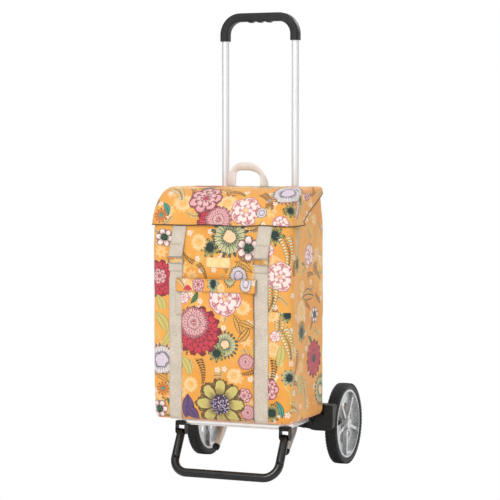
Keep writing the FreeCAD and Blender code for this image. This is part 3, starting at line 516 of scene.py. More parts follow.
def bloom_group():
    """A round flower: ruffled layers of petals with drawn outlines, and a dotted heart."""
    tree, given, result = new_group(
        "bloom",
        {"Cloth": "Vector", "Middle": "Vector", "Radius": "Float", "Turn": "Float", "Shake": "Float",
         "Seeds": "Float", "Petals": "Float", "Notch": "Float", "Layers": "Float", "Heart size": "Float",
         "Outer": "Color", "Inner": "Color",
         "Line": "Color", "Heart": "Color", "Dot": "Color"},
        {"Colour": "Color", "Mask": "Float"},
    )
    local, across, up = turned_local(tree, given["Cloth"], given["Middle"], given["Radius"], given["Turn"])
    plain = add(tree, "ShaderNodeVectorMath", {0: local}, operation="LENGTH").outputs["Value"]
    far = calc(tree, "ADD", plain, calc(tree, "MULTIPLY", calc(tree, "SUBTRACT", given["Shake"], 0.5), 0.3))
    angle = calc(
        tree, "MULTIPLY", calc(tree, "ARCTAN2", up, across), calc(tree, "MULTIPLY", given["Petals"], 0.5),
    )
    tips = calc(tree, "POWER", calc(tree, "ABSOLUTE", calc(tree, "COSINE", angle)), 0.6)
    edge = calc(
        tree, "SUBTRACT", 1.0, calc(tree, "MULTIPLY", given["Notch"], calc(tree, "SUBTRACT", 1.0, tips)),
    )
    reach = calc(tree, "DIVIDE", far, edge)
    mask = calc(tree, "LESS_THAN", reach, 1.0)
    depth = calc(tree, "MULTIPLY", reach, given["Layers"])
    shifted = calc(tree, "MULTIPLY_ADD", calc(tree, "FLOOR", depth), math.pi / 2, angle)
    petal = calc(tree, "ABSOLUTE", calc(tree, "COSINE", shifted))
    ruffle = calc(tree, "FRACT", calc(tree, "MULTIPLY_ADD", calc(tree, "SUBTRACT", 1.0, petal), 0.45, depth))
    rings = stretched(tree, ruffle, 0.26, 0.14)
    gaps = stretched(tree, petal, 0.34, 0.16)
    rim = stretched(tree, reach, 0.9, 0.95)
    drawn = calc(tree, "MAXIMUM", calc(tree, "MAXIMUM", rings, gaps), rim)
    fade = calc(tree, "MULTIPLY_ADD", ruffle, 0.55, calc(tree, "MULTIPLY", reach, 0.45))
    body = mixed(tree, fade, given["Inner"], given["Outer"])
    body = mixed(tree, calc(tree, "MULTIPLY", drawn, 0.92), body, given["Line"])
    dots = calc(tree, "LESS_THAN", given["Seeds"], 0.36)
    middle = mixed(tree, dots, given["Heart"], given["Dot"])
    inside = calc(tree, "LESS_THAN", far, given["Heart size"])
    shade = stretched(tree, calc(tree, "DIVIDE", far, given["Heart size"]), 1.6, 1.0)
    body = mixed(tree, calc(tree, "MULTIPLY", shade, 0.7), body, given["Line"])
    tree.links.new(mixed(tree, inside, body, middle), result["Colour"])
    tree.links.new(mask, result["Mask"])
    return tree


def leaf_group():
    """A pointed leaf with a midrib and slanting veins."""
    tree, given, result = new_group(
        "leaf",
        {"Cloth": "Vector", "Middle": "Vector", "Radius": "Float", "Turn": "Float", "Width": "Float",
         "Outer": "Color", "Line": "Color"},
        {"Colour": "Color", "Mask": "Float"},
    )
    _, along, side = turned_local(tree, given["Cloth"], given["Middle"], given["Radius"], given["Turn"])
    bent = calc(tree, "MULTIPLY_ADD", calc(tree, "MULTIPLY", along, along), 0.18, side)
    off = calc(tree, "ABSOLUTE", bent)
    taper = calc(tree, "SUBTRACT", 1.0, calc(tree, "MULTIPLY", along, along))
    inside = calc(
        tree, "DIVIDE", off, calc(tree, "MAXIMUM", calc(tree, "MULTIPLY", taper, given["Width"]), 0.001),
    )
    mask = calc(tree, "LESS_THAN", inside, 1.0)
    slant = calc(tree, "FRACT", calc(tree, "MULTIPLY_ADD", along, 5.0, calc(tree, "MULTIPLY", off, -6.0)))
    veins = calc(tree, "LESS_THAN", slant, 0.18)
    rib = calc(tree, "LESS_THAN", off, 0.035)
    rim = calc(tree, "GREATER_THAN", inside, 0.82)
    drawn = calc(tree, "MAXIMUM", calc(tree, "MAXIMUM", veins, rib), rim)
    tree.links.new(mixed(tree, drawn, given["Outer"], given["Line"]), result["Colour"])
    tree.links.new(mask, result["Mask"])
    return tree


def sprig_group():
    """A curved stem with pairs of outlined leaflets."""
    tree, given, result = new_group(
        "sprig",
        {"Cloth": "Vector", "Middle": "Vector", "Radius": "Float", "Turn": "Float", "Pairs": "Float",
         "Width": "Float", "Outer": "Color", "Line": "Color"},
        {"Colour": "Color", "Mask": "Float"},
    )
    _, along, side = turned_local(tree, given["Cloth"], given["Middle"], given["Radius"], given["Turn"])
    bent = calc(tree, "MULTIPLY_ADD", calc(tree, "MULTIPLY", along, along), 0.2, side)
    off = calc(tree, "ABSOLUTE", bent)
    within = calc(tree, "LESS_THAN", calc(tree, "ABSOLUTE", along), 1.0)
    taper = calc(tree, "MULTIPLY_ADD", along, -0.35, 0.75)
    level = calc(tree, "DIVIDE", calc(tree, "DIVIDE", off, taper), given["Width"])
    step = calc(tree, "FRACT", calc(tree, "SUBTRACT", calc(tree, "MULTIPLY", along, given["Pairs"]),
                                    calc(tree, "MULTIPLY", level, 0.55)))
    lengthwise = calc(tree, "DIVIDE", calc(tree, "SUBTRACT", step, 0.5), 0.36)
    sideways = calc(tree, "DIVIDE", calc(tree, "SUBTRACT", level, 0.55), 0.42)
    oval = calc(
        tree, "ADD", calc(tree, "MULTIPLY", lengthwise, lengthwise),
        calc(tree, "MULTIPLY", sideways, sideways),
    )
    leaflet = calc(tree, "LESS_THAN", oval, 1.0)
    stem = calc(tree, "LESS_THAN", off, 0.022)
    mask = calc(tree, "MULTIPLY", calc(tree, "MAXIMUM", leaflet, stem), within)
    drawn = calc(tree, "MAXIMUM", calc(tree, "GREATER_THAN", oval, 0.55), stem)
    tree.links.new(mixed(tree, drawn, given["Outer"], given["Line"]), result["Colour"])
    tree.links.new(mask, result["Mask"])
    return tree


BLOOM, FOLIAGE, SPRIG = bloom_group(), leaf_group(), sprig_group()


def flower(petals, notch, layers, heart, outer, inner, line, middle, dot):
    keys = ("Petals", "Notch", "Layers", "Heart size", "Outer", "Inner", "Line", "Heart", "Dot")
    return BLOOM, dict(zip(keys, (petals, notch, layers, heart, outer, inner, line, middle, dot)))


MOTIFS = {
    "peony": flower(5, 0.12, 2.5, 0.16, BLUSH, WHITE, MAUVE, PEACH, ROSE),
    "blush": flower(5, 0.14, 2.2, 0.15, BLUSH, WHITE, MAUVE, PINK, ROSE),
    "rose": flower(7, 0.12, 3.2, 0.16, PINK, BLUSH, WINE, ROSE, WINE),
    "zinnia": flower(14, 0.18, 4.4, 0.2, RED, ROSE, WINE, BLACK, LEAF),
    "ruffle": flower(19, 0.22, 4.6, 0.12, PINK, BLUSH, WINE, RED, WHITE),
    "anemone": flower(6, 0.2, 1.0, 0.4, BLUSH, WHITE, WINE, PINE, LEAF),
    "mum": flower(20, 0.42, 2.2, 0.3, CREAM, LEAF, PINE, PEACH, BLUSH),
    "daisy": flower(26, 0.36, 2.1, 0.38, WHITE, LILAC, BLACK, LILAC, BLUSH),
    "olive": flower(8, 0.2, 1.0, 0.38, LEMON, OLIVE, BARK, AUBERGINE, LILAC),
    "star": flower(9, 0.55, 1.5, 0.42, CREAM, TEAL, PINE, PINE, BLACK),
    "burst": flower(8, 0.6, 1.4, 0.45, LEMON, LEAF, PINE, PINE, PINE),
    "flame": flower(11, 0.45, 1.6, 0.26, FLAME, AMBER, BARK, TEAL, PINE),
    "ghost": flower(13, 0.4, 1.8, 0.3, PEACH, CREAM, AMBER, AMBER, CREAM),
    "tulip": (FOLIAGE, {"Width": 0.55, "Outer": VIOLET, "Line": AUBERGINE}),
    "leaf": (FOLIAGE, {"Width": 0.34, "Outer": LEAF, "Line": PINE}),
    "mint": (FOLIAGE, {"Width": 0.34, "Outer": TEAL, "Line": PINE}),
    "pale_leaf": (FOLIAGE, {"Width": 0.4, "Outer": LEMON, "Line": OLIVE}),
    "lily": (FOLIAGE, {"Width": 0.36, "Outer": AMBER, "Line": BARK}),
    "petal": (FOLIAGE, {"Width": 0.42, "Outer": RED, "Line": ROSE}),
    "twig": (SPRIG, {"Pairs": 5.0, "Width": 0.34, "Outer": BARK, "Line": BARK}),
    "fern": (SPRIG, {"Pairs": 5.0, "Width": 0.5, "Outer": CREAM, "Line": PINE}),
}


def small_flowers(tree, cloth, ground):
    """Pale florets, dots and stray sprigs scattered over the ground between the large blooms."""
    for drawing, scale, radius, width, tint, line, share in (
        (SPRIG, 15.0, 0.024, 0.5, LEMON, AMBER, 0.6),
        (SPRIG, 21.0, 0.016, 0.45, CREAM, PINE, 0.4),
        (SPRIG, 18.0, 0.018, 0.4, BARK, BARK, 0.34),
    ):
        cells = add(tree, "ShaderNodeTexVoronoi", {"Vector": cloth, "Scale": scale, "Randomness": 0.8},
                    voronoi_dimensions="2D").outputs
        dice = add(
            tree, "ShaderNodeTexWhiteNoise", {"Vector": cells["Position"]}, noise_dimensions="2D",
        ).outputs[0]
        node = tree.nodes.new("ShaderNodeGroup")
        node.node_tree = drawing
        tree.links.new(cloth, node.inputs["Cloth"])
        tree.links.new(cells["Position"], node.inputs["Middle"])
        tree.links.new(calc(tree, "MULTIPLY", dice, 40.0), node.inputs["Turn"])
        for key, value in {
            "Radius": radius, "Pairs": 4.0, "Width": width, "Outer": tint, "Line": line,
        }.items():
            node.inputs[key].default_value = value
        shown = calc(tree, "MULTIPLY", node.outputs["Mask"], calc(tree, "LESS_THAN", dice, share))
        ground = mixed(tree, shown, ground, node.outputs["Colour"])
    for scale, size, petals, tint, share in (
        (17.0, 0.017, 7.0, PEACH, 0.55), (31.0, 0.008, 5.0, WHITE, 0.35),
    ):
        cells = add(tree, "ShaderNodeTexVoronoi", {"Vector": cloth, "Scale": scale, "Randomness": 0.85},
                    voronoi_dimensions="2D").outputs
        chance = add(
            tree, "ShaderNodeTexWhiteNoise", {"Vector": cells["Position"]}, noise_dimensions="2D",
        ).outputs[0]
        away = add(
            tree, "ShaderNodeVectorMath", {0: cloth, 1: cells["Position"]}, operation="SUBTRACT",
        ).outputs[0]
        sides = add(tree, "ShaderNodeSeparateXYZ", {0: away}).outputs
        far = add(tree, "ShaderNodeVectorMath", {0: away}, operation="LENGTH").outputs["Value"]
        turn = calc(tree, "MULTIPLY", calc(tree, "ARCTAN2", sides[1], sides[0]), petals / 2)
        lobes = calc(tree, "MULTIPLY_ADD", calc(tree, "ABSOLUTE", calc(tree, "COSINE", turn)), 0.45, 0.55)
        reach = calc(tree, "DIVIDE", far, calc(tree, "MULTIPLY", lobes, size))
        soft = stretched(tree, reach, 1.05, 0.75)
        shown = calc(tree, "MULTIPLY", soft, calc(tree, "LESS_THAN", chance, share))
        ground = mixed(tree, calc(tree, "MULTIPLY", shown, 0.75), ground, tint)
        heart = calc(tree, "MULTIPLY", shown, calc(tree, "LESS_THAN", reach, 0.28))
        ground = mixed(tree, heart, ground, AMBER)
    return ground


def printed_cloth(name, *motifs):
    """Coated polyester with a print. Each motif is (kind, millimetres across, up, radius, turn)."""

    def printing(tree):
        cloth = add(tree, "ShaderNodeUVMap", uv_map="cloth").outputs[0]
        wash = add(tree, "ShaderNodeTexNoise", {"Vector": cloth, "Scale": 9.0, "Detail": 3.0}).outputs[0]
        ramp = stretched(tree, wash, 0.35, 0.68)
        shake = add(tree, "ShaderNodeTexNoise", {"Vector": cloth, "Scale": 90.0, "Detail": 2.0}).outputs[0]
        seeds = add(tree, "ShaderNodeTexVoronoi", {"Vector": cloth, "Scale": 300.0}).outputs["Distance"]
        colour = mixed(tree, ramp, ORANGE, AMBER)
        colour = small_flowers(tree, cloth, colour)
        for kind, across, up, radius, turn in motifs:
            drawing, values = MOTIFS[kind]
            node = tree.nodes.new("ShaderNodeGroup")
            node.node_tree = drawing
            tree.links.new(cloth, node.inputs["Cloth"])
            node.inputs["Middle"].default_value = (across / 1000, up / 1000, 0)
            node.inputs["Radius"].default_value = radius / 1000
            node.inputs["Turn"].default_value = math.radians(turn)
            for key, value in values.items():
                node.inputs[key].default_value = value
            if drawing == BLOOM:
                tree.links.new(shake, node.inputs["Shake"])
                tree.links.new(seeds, node.inputs["Seeds"])
            colour = mixed(tree, node.outputs["Mask"], colour, node.outputs["Colour"])
        return mixed(tree, 1.0, colour, (0.86, 0.83, 0.80, 1), "MULTIPLY")

    def weave(tree):
        cloth = add(tree, "ShaderNodeUVMap", uv_map="cloth").outputs[0]
        waves = [
            add(tree, "ShaderNodeTexWave", {"Vector": cloth, "Scale": 260.0, "Distortion": 0.6},
                bands_direction=way).outputs[1]
            for way in ("X", "Y")
        ]
        crumple = add(tree, "ShaderNodeTexNoise", {"Vector": cloth, "Scale": 38.0, "Detail": 4.0}).outputs[0]
        soft = add(tree, "ShaderNodeTexNoise", {"Vector": cloth, "Scale": 12.0, "Detail": 2.0}).outputs[0]
        creases = calc(tree, "MULTIPLY_ADD", soft, 16.0, calc(tree, "MULTIPLY", crumple, 6.0))
        return calc(tree, "ADD", creases, calc(tree, "ADD", *waves))

    return finish_with(
        name, printing, steps_between(speckle(40), 0.42, 0.58), bump=(weave, 0.00022),
        **{"Sheen Weight": 0.15, "Specular IOR Level": 0.45},
    )


lining = finish_with(
    "black lining",
    shades(speckle(50), ink(38, 36, 36), ink(56, 53, 52)),
    steps_between(speckle(90), 0.7, 0.85),
    bump=(speckle(1500, 2), 0.0001),
)


def sheet_of(name, points, cloth, prints, wall, back=None, wraps=False, fill_first=False, zone=None):
    """A sheet from a grid of points, each with its place on the flat cloth.

    cloth(row, column, face column) gives that place, back is the lining, and wraps joins the last column to
    the first.
    Where it has several prints, zone(row, column) says which of them a face shows.
    """
    prints = prints if isinstance(prints, list) else [prints]
    rows, columns = len(points), len(points[0])
    flat = [tuple(point) for row in points for point in row]
    faces, places = [], []
    for row in range(rows - 1):
        for column in range(columns if wraps else columns - 1):
            corners = ((row, column), (row, column + 1), (row + 1, column + 1), (row + 1, column))
            faces.append([r * columns + c % columns for r, c in corners])
            places.append([cloth(r, c, column) for r, c in corners])
    if fill_first:
        faces.append([c for c in reversed(range(columns))])
        places.append([(flat[c][0], flat[c][1]) for c in reversed(range(columns))])
    mesh = bpy.data.meshes.new(name)
    mesh.from_pydata(flat, [], faces)
    layer = mesh.uv_layers.new(name="cloth")
    for face, spots in zip(mesh.polygons, places):
        for loop, spot in zip(face.loop_indices, spots):
            layer.data[loop].uv = spot
    mesh.shade_smooth()
    for material in prints + ([back] if back else []):
        mesh.materials.append(material)
    if zone:
        across = columns if wraps else columns - 1
        for index in range((rows - 1) * across):
            mesh.polygons[index].material_index = zone(index // across, index % across)
    made = put(name, mesh)
    thick = made.modifiers.new("cloth thickness", "SOLIDIFY")
    thick.thickness, thick.offset = wall, -1
    thick.use_even_offset = False
    thick.material_offset = len(prints) if back else 0
    return made


# ---------------------------------------------------------------- bag body
# The front, sides and back are one lofted shell that bellies a little and creases where the load hangs.
# Its mouth is cut lower round the front, where the cover curves over it, and bound with black tape.

BAG_LOW, BAG_HIGH = span("bag_body")
BAG_CORNER, BAG_FOOT = 0.018, 0.014
CLOTH_WALL = 0.0016
COVER_LOW, COVER_HIGH = span("cover_flap")
CURVE = 0.084  # how far the cover's front top rounds over
CURVE_Y, CURVE_Z = COVER_LOW.y + CURVE, COVER_HIGH.z - CURVE
HALF_WIDE = BAG_HIGH.x - BAG_CORNER
SIDE_LONG = BAG_HIGH.y - BAG_LOW.y - 2 * BAG_CORNER
TURN_LONG = BAG_CORNER * math.pi / 2


def round_the_bag(around):
    """The point of the bag's outline at a length from the middle of its front, and the way out from it."""
    side = 1 if around >= 0 else -1
    rest = abs(around)
    if rest <= HALF_WIDE:
        return Vector((side * rest, BAG_LOW.y)), Vector((0, -1))
    rest -= HALF_WIDE
    if rest <= TURN_LONG:
        angle = rest / BAG_CORNER
        way = Vector((side * math.sin(angle), -math.cos(angle)))
        return Vector((side * HALF_WIDE, BAG_LOW.y + BAG_CORNER)) + way * BAG_CORNER, way
    rest -= TURN_LONG
    if rest <= SIDE_LONG:
        return Vector((side * BAG_HIGH.x, BAG_LOW.y + BAG_CORNER + rest)), Vector((side, 0))
    rest -= SIDE_LONG
    if rest <= TURN_LONG:
        angle = rest / BAG_CORNER
        way = Vector((side * math.cos(angle), math.sin(angle)))
        return Vector((side * HALF_WIDE, BAG_HIGH.y - BAG_CORNER)) + way * BAG_CORNER, way
    rest -= TURN_LONG
    return Vector((side * (HALF_WIDE - rest), BAG_HIGH.y)), Vector((0, 1))


HALF_ROUND = 2 * HALF_WIDE + 2 * TURN_LONG + SIDE_LONG


def ripple(across, up, across_scale, up_scale, seed):
    """A smooth random wave between -1 and 1."""
    return noise.noise(Vector((across * across_scale, up * up_scale, seed)))


def belly(around, height):
    """How far the bag's cloth stands out from its straight outline, in metres."""
    share = (height - BAG_LOW.z) / (BAG_HIGH.z - BAG_LOW.z)
    held = max(0.0, math.sin(math.pi * min(1, share * 1.06))) ** 0.5
    side_middle = HALF_WIDE + TURN_LONG + SIDE_LONG / 2
    on_side = max(0.0, 1 - abs(abs(around) - side_middle) / (SIDE_LONG / 2 + 0.02))
    on_back = abs(around) > HALF_ROUND - HALF_WIDE
    on_edge = math.exp(-((abs(around) - HALF_WIDE - 0.02) / 0.035) ** 2)
    out = on_edge * (0.0065 if around < 0 else 0.003)
    slant = ripple(around + height * 0.3, height, 24, 9, 7.7) * 0.0017
    out += ripple(around, height, 9, 5, 3.1) * 0.0026 + slant
    out += ripple(around - height * 0.5, height, 46, 12, 1.4) * 0.0008
    out -= on_side * 0.004
    if on_back:
        out = min(out, 0) - 0.001
    tuck = min(1.0, max(0.0, (height - CURVE_Z + 0.012) / 0.03))
    if on_back:
        return out * held * (1 - tuck) - tuck * 0.05 * max(0.0, height - CURVE_Z)
    flap_band = math.exp(-((height - 0.472) / 0.03) ** 4) * (abs(around) < 0.13)
    return out * held * (1 - 0.8 * tuck) * (1 - 0.85 * flap_band) - tuck * (
        0.0015 + 0.09 * max(0.0, height - CURVE_Z)
    )


def mouth(across_y):
    """The height of the bag's mouth at a distance back."""
    forward = min(0.0, across_y - CURVE_Y)
    reach = CURVE - 0.0157
    rise = min(1.0, max(0.0, (across_y + 0.02) / 0.03))
    return CURVE_Z + math.sqrt(max(0.0, reach * reach - forward * forward)) + 0.0138 * rise


BAG_COLUMNS, WALL_ROWS, FOOT_ROWS = 220, 100, 5
bag_points, bag_cloth = [], []
for row in range(-2, FOOT_ROWS + WALL_ROWS + 1):
    line, spots = [], []
    for column in range(BAG_COLUMNS):
        around = (column / BAG_COLUMNS * 2 - 1) * HALF_ROUND
        spot, way = round_the_bag(around)
        top = mouth(spot.y)
        if row < 0:
            inset, height = BAG_FOOT - 0.0015 * row, BAG_LOW.z
        elif row < FOOT_ROWS:
            angle = row / FOOT_ROWS * math.pi / 2
            inset, height = BAG_FOOT * (1 - math.sin(angle)), BAG_LOW.z + BAG_FOOT * (1 - math.cos(angle))
        else:
            inset, start = 0.0, BAG_LOW.z + BAG_FOOT
            height = start + (top - start) * (row - FOOT_ROWS) / WALL_ROWS
        out = belly(around, height) - inset
        line.append(Vector((*(spot + way * out), height)))
        spots.append((around, height - (inset if row <= 0 else 0)))
    bag_points.append(line)
    bag_cloth.append(spots)
mouth_line = bag_points[-1]


def bag_place(row, column, _):
    return bag_cloth[row][column] if column < BAG_COLUMNS else (HALF_ROUND, bag_cloth[row][0][1])


def front(across, height, lift=0.0):
    """A point on the front of the bag, lifted off its cloth."""
    return Vector((across, BAG_LOW.y - belly(across, height) - lift, height))


upper_print = printed_cloth(
    "flower print upper front",
    ("ghost", -112, 500, 26, 0), ("burst", -30, 548, 24, 30), ("lily", 11, 515, 26, 80),
    ("lily", 58, 508, 26, 30), ("lily", 40, 500, 22, 120), ("twig", -46, 493, 22, 60),
    ("ghost", -58, 560, 22, 0), ("anemone", -146, 570, 22, 10), ("zinnia", -158, 473, 46, 0),
    ("mum", 21, 574, 50, 0), ("anemone", 68, 548, 30, 30), ("daisy", 43, 484, 24, 0),
    ("burst", 136, 579, 24, 0), ("peony", 147, 484, 36, 0), ("fern", 168, 545, 34, 80),
    ("ghost", 120, 525, 18, 0), ("fern", 128, 430, 34, 100), ("pale_leaf", -152, 412, 26, 70),
    ("rose", -158, 478, 19, 0), ("blush", 116, 545, 18, 0),
)
lower_print = printed_cloth(
    "flower print lower front",
    ("pale_leaf", -150, 371, 30, 60), ("daisy", -154, 279, 40, 0), ("flame", -150, 211, 16, 0),
    ("anemone", -160, 162, 22, 0), ("fern", 146, 372, 34, 95), ("ghost", 128, 395, 20, 0),
    ("twig", 132, 262, 30, 100), ("ghost", 130, 315, 20, 0), ("rose", 118, 221, 27, 0),
    ("burst", 127, 166, 22, 0), ("fern", 168, 330, 38, 70), ("star", 170, 250, 20, 0),
    ("pale_leaf", -140, 330, 22, 120), ("lily", -150, 238, 20, 30), ("mint", 150, 176, 22, 70),
    ("pale_leaf", 150, 300, 28, 100), ("leaf", -130, 175, 18, 60), ("burst", 165, 395, 18, 0),
    ("blush", 135, 345, 14, 0),
)
right_print = printed_cloth(
    "flower print right",
    ("ghost", 240, 400, 30, 0), ("fern", 210, 563, 32, 90), ("burst", 204, 512, 22, 20),
    ("fern", 168, 545, 34, 80), ("lily", 284, 436, 40, 0), ("anemone", 330, 384, 20, 0),
    ("leaf", 303, 327, 18, 40), ("zinnia", 322, 280, 46, 20), ("fern", 168, 330, 38, 70),
    ("twig", 205, 282, 30, 110), ("star", 170, 250, 20, 0), ("fern", 190, 178, 30, 20),
    ("flame", 327, 499, 14, 0), ("mum", 365, 200, 40, 0), ("burst", 240, 350, 26, 0),
    ("pale_leaf", 225, 230, 32, 60), ("blush", 290, 530, 28, 0), ("fern", 262, 200, 34, 80),
)
left_print = printed_cloth(
    "flower print left",
    ("rose", -250, 450, 38, 0), ("olive", -300, 300, 44, 0), ("twig", -230, 380, 30, 70),
    ("daisy", -240, 200, 34, 0), ("zinnia", -149, 473, 36, 0), ("daisy", -150, 279, 33, 0),
    ("anemone", -160, 162, 18, 0), ("mum", -340, 540, 42, 0), ("fern", -220, 540, 32, 60),
    ("ruffle", -350, 180, 30, 0),
)
back_print = printed_cloth(
    "flower print back",
    ("zinnia", -480, 420, 40, 0), ("mum", 480, 520, 42, 0), ("rose", 500, 300, 40, 0),
    ("leaf", -500, 250, 34, 40), ("olive", 420, 400, 50, 0), ("peony", -430, 560, 40, 0),
    ("daisy", -420, 240, 34, 0), ("twig", 530, 440, 34, 30), ("ghost", -520, 340, 30, 0),
    ("star", 440, 220, 24, 0),
)
SIDE_START = HALF_WIDE + TURN_LONG / 2
BACK_START = HALF_ROUND - HALF_WIDE - TURN_LONG / 2


def bag_zone(row, column):
    """Which print a face of the bag shows: upper front, lower front, right, left or back."""
    around = ((column + 0.5) / BAG_COLUMNS * 2 - 1) * HALF_ROUND
    if abs(around) < SIDE_START:
        return 0 if bag_points[row][column].z > 0.4 else 1
    return 4 if abs(around) > BACK_START else 2 if around > 0 else 3


bag_shell = sheet_of(
    "bag_shell", bag_points, bag_place, [upper_print, lower_print, right_print, left_print, back_print],
    CLOTH_WALL,
    back=lining, wraps=True, fill_first=True, zone=bag_zone,
)
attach(bag_shell, "bag")
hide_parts("bag_body")

mouth_tape = rod(
    "mouth_binding", [Vector((p.x * 0.996, p.y, p.z)) for p in mouth_line], 0.0019, lining, closed=True
)
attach(mouth_tape, "bag")

pink_tape = finish_with(
    "piping tape",
    shades(speckle(120), ink(196, 120, 98), ink(236, 178, 140)),
    steps_between(speckle(300), 0.55, 0.7),
    bump=(speckle(1800, 2), 0.00008),
)
piping = rod("foot_piping", bag_points[4], 0.0016, pink_tape, closed=True, sides=8)
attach(piping, "bag")

hardboard = finish_with(
    "hardboard",
    shades(speckle(160, 5), ink(92, 62, 38), ink(128, 92, 60)),
    steps_between(speckle(200), 0.6, 0.8),
    bump=(speckle(700, 4), 0.0002),
)
dress(hardboard, "base_board")

# ---------------------------------------------------------------- cover
# The flap that closes the bag: a top that rounds over the front, with a skirt down each side whose
# edge runs slantwise up to the hinge. The cloth is stiff but its free edge waves.

COVER_BACK_CORNER = 0.024


def cover_half(across_y, height):
    """Half the cover's width: it is rounded at its back corners and spreads towards its free edge."""
    beyond = max(0.0, across_y - (COVER_HIGH.y + 0.004 - COVER_BACK_CORNER))
    rounded = COVER_BACK_CORNER - math.sqrt(max(0.0, COVER_BACK_CORNER ** 2 - beyond ** 2))
    return COVER_HIGH.x - 0.004 - rounded + 0.004 * (COVER_HIGH.z - height) / CURVE


def flare(side, height):
    """How far a side of the cover stands out towards its free edge; the left one more."""
    return (0.009 if side < 0 else 0.0) * min(1.1, (COVER_HIGH.z - height) / CURVE)


FRONT_SKIRT, FRONT_CORNER = 0.0807, 0.028


def cover_profile(steps):
    """The cover from its front edge to its hinge: point, way in, flat length, skirt depth, corner."""
    found = []
    drop = CURVE_Z - COVER_LOW.z
    arc = CURVE * math.pi / 2
    top = COVER_HIGH.y - CURVE_Y
    for step in range(steps + 1):
        along = (drop + arc + top) * step / steps
        flat = COVER_LOW.z + along
        if along < drop:
            spot, inward = Vector((COVER_LOW.y, COVER_LOW.z + along)), Vector((1, 0))
            deep, corner = FRONT_SKIRT, FRONT_CORNER
        elif along < drop + arc:
            angle = (along - drop) / CURVE
            inward = Vector((math.cos(angle), -math.sin(angle)))
            spot = Vector((CURVE_Y, CURVE_Z)) - inward * CURVE
            deep = FRONT_SKIRT - 0.003
            corner = FRONT_CORNER - 0.014 * angle / (math.pi / 2)
        else:
            back = (along - drop - arc) / top
            spot, inward = Vector((CURVE_Y + back * top, COVER_HIGH.z)), Vector((0, -1))
            deep = (FRONT_SKIRT - 0.003) * (1 - back) + 0.009 * back
            corner = 0.014 - 0.006 * back
        found.append((spot, inward, flat, deep, corner))
    return found


def cover_wave(across, flat, depth_share):
    """How the cover's cloth lifts off its plain shape."""
    near_edge = max(0.0, 1 - (flat - COVER_LOW.z) / 0.06)
    lift = ripple(across, flat, 16, 8, 5.2) * (0.0016 + 0.0022 * near_edge)
    lift += ripple(across, flat, 42, 16, 9.3) * 0.0006
    lift += near_edge * 0.0012
    return lift + depth_share * ripple(across, flat, 12, 12, 2.2) * 0.003


COVER_FLAT, COVER_TURN, COVER_SKIRT = 34, 6, 16
cover_points, cover_flat_place, cover_side_place = [], [], []
for spot, inward, flat, deep, corner in cover_profile(60):
    half = []
    wide = cover_half(spot.x, spot.y)
    for column in range(COVER_FLAT + COVER_TURN + COVER_SKIRT + 1):
        if column <= COVER_FLAT:
            across, depth, out = (wide - corner) * column / COVER_FLAT, 0.0, Vector((0, 1))
            long = across
        elif column <= COVER_FLAT + COVER_TURN:
            angle = (column - COVER_FLAT) / COVER_TURN * math.pi / 2
            across = wide - corner + corner * math.sin(angle)
            depth, out = corner * (1 - math.cos(angle)), Vector((math.sin(angle), math.cos(angle)))
            long = wide - corner + corner * angle
        else:
            share = (column - COVER_FLAT - COVER_TURN) / COVER_SKIRT
            across, depth, out = wide, corner + (deep - corner) * share, Vector((1, 0))
            long = wide + corner * 0.571 + depth - corner
        half.append((across, depth, out, long))
    line, places, side_places = [], [], []
    for side, part in ((-1, reversed(half)), (1, half[1:])):
        for across, depth, out, long in part:
            lift = cover_wave(side * long, flat, min(1, depth / 0.08))
            place = spot + inward * (depth - out.y * lift)
            if flat < CURVE_Z:
                place.y += ripple(side * long, 0, 14, 1, 8.8) * 0.0022 * (CURVE_Z - flat) / 0.004
            spread = flare(side, place.y) * (across / wide) ** 2
            line.append(Vector((side * (across + out.x * lift + spread), place.x, place.y)))
            places.append((side * long, flat))
            side_places.append((side * (0.19 + place.x - COVER_LOW.y), place.y))
    cover_points.append(line)
    cover_flat_place.append(places)
    cover_side_place.append(side_places)
COVER_COLUMNS = len(cover_points[0])


def cover_place(row, column, face_column):
    on_side = face_column < COVER_SKIRT or face_column >= COVER_COLUMNS - 1 - COVER_SKIRT
    return (cover_side_place if on_side else cover_flat_place)[row][column]


cover_print = printed_cloth(
    "flower print cover front",
    ("lily", -8, 704, 24, 30), ("twig", 112, 668, 30, 50), ("ghost", -100, 655, 26, 20),
    ("ghost", 10, 655, 26, 0), ("leaf", -57, 718, 26, 150), ("mint", 140, 682, 26, 30),
    ("flame", -150, 623, 18, 0), ("mint", -138, 640, 20, 60), ("fern", -122, 690, 30, 50),
    ("zinnia", -20, 610, 40, 20), ("ruffle", -6, 614, 34, 0), ("rose", -48, 670, 42, 0),
    ("peony", 60, 637, 38, 0), ("daisy", 152, 692, 40, 0), ("daisy", 101, 632, 14, 0),
    ("burst", 172, 640, 18, 0), ("blush", 150, 605, 22, 0), ("twig", 30, 690, 22, 20),
)
top_print = printed_cloth(
    "flower print cover top",
    ("ghost", 20, 760, 40, 0), ("daisy", 156, 700, 42, 0), ("leaf", -57, 716, 26, 150),
    ("ghost", -120, 720, 34, 20), ("mum", 90, 760, 40, 0), ("zinnia", -90, 800, 44, 0),
    ("olive", 30, 830, 46, 0), ("peony", -20, 880, 40, 0), ("rose", 120, 860, 38, 0),
    ("rose", -44, 668, 42, 0),
)
skirt_print = printed_cloth(
    "flower print cover sides",
    ("daisy", 215, 650, 34, 0), ("mum", -230, 640, 34, 0), ("leaf", 250, 670, 24, 60),
    ("ghost", 190, 610, 18, 0), ("star", -280, 670, 20, 0), ("rose", 300, 680, 24, 0),
)


def cover_zone(row, column):
    """Which print a face of the cover shows: front, top or side."""
    if column < COVER_SKIRT or column >= COVER_COLUMNS - 1 - COVER_SKIRT:
        return 2
    return 0 if cover_flat_place[row][0][1] < 0.71 else 1


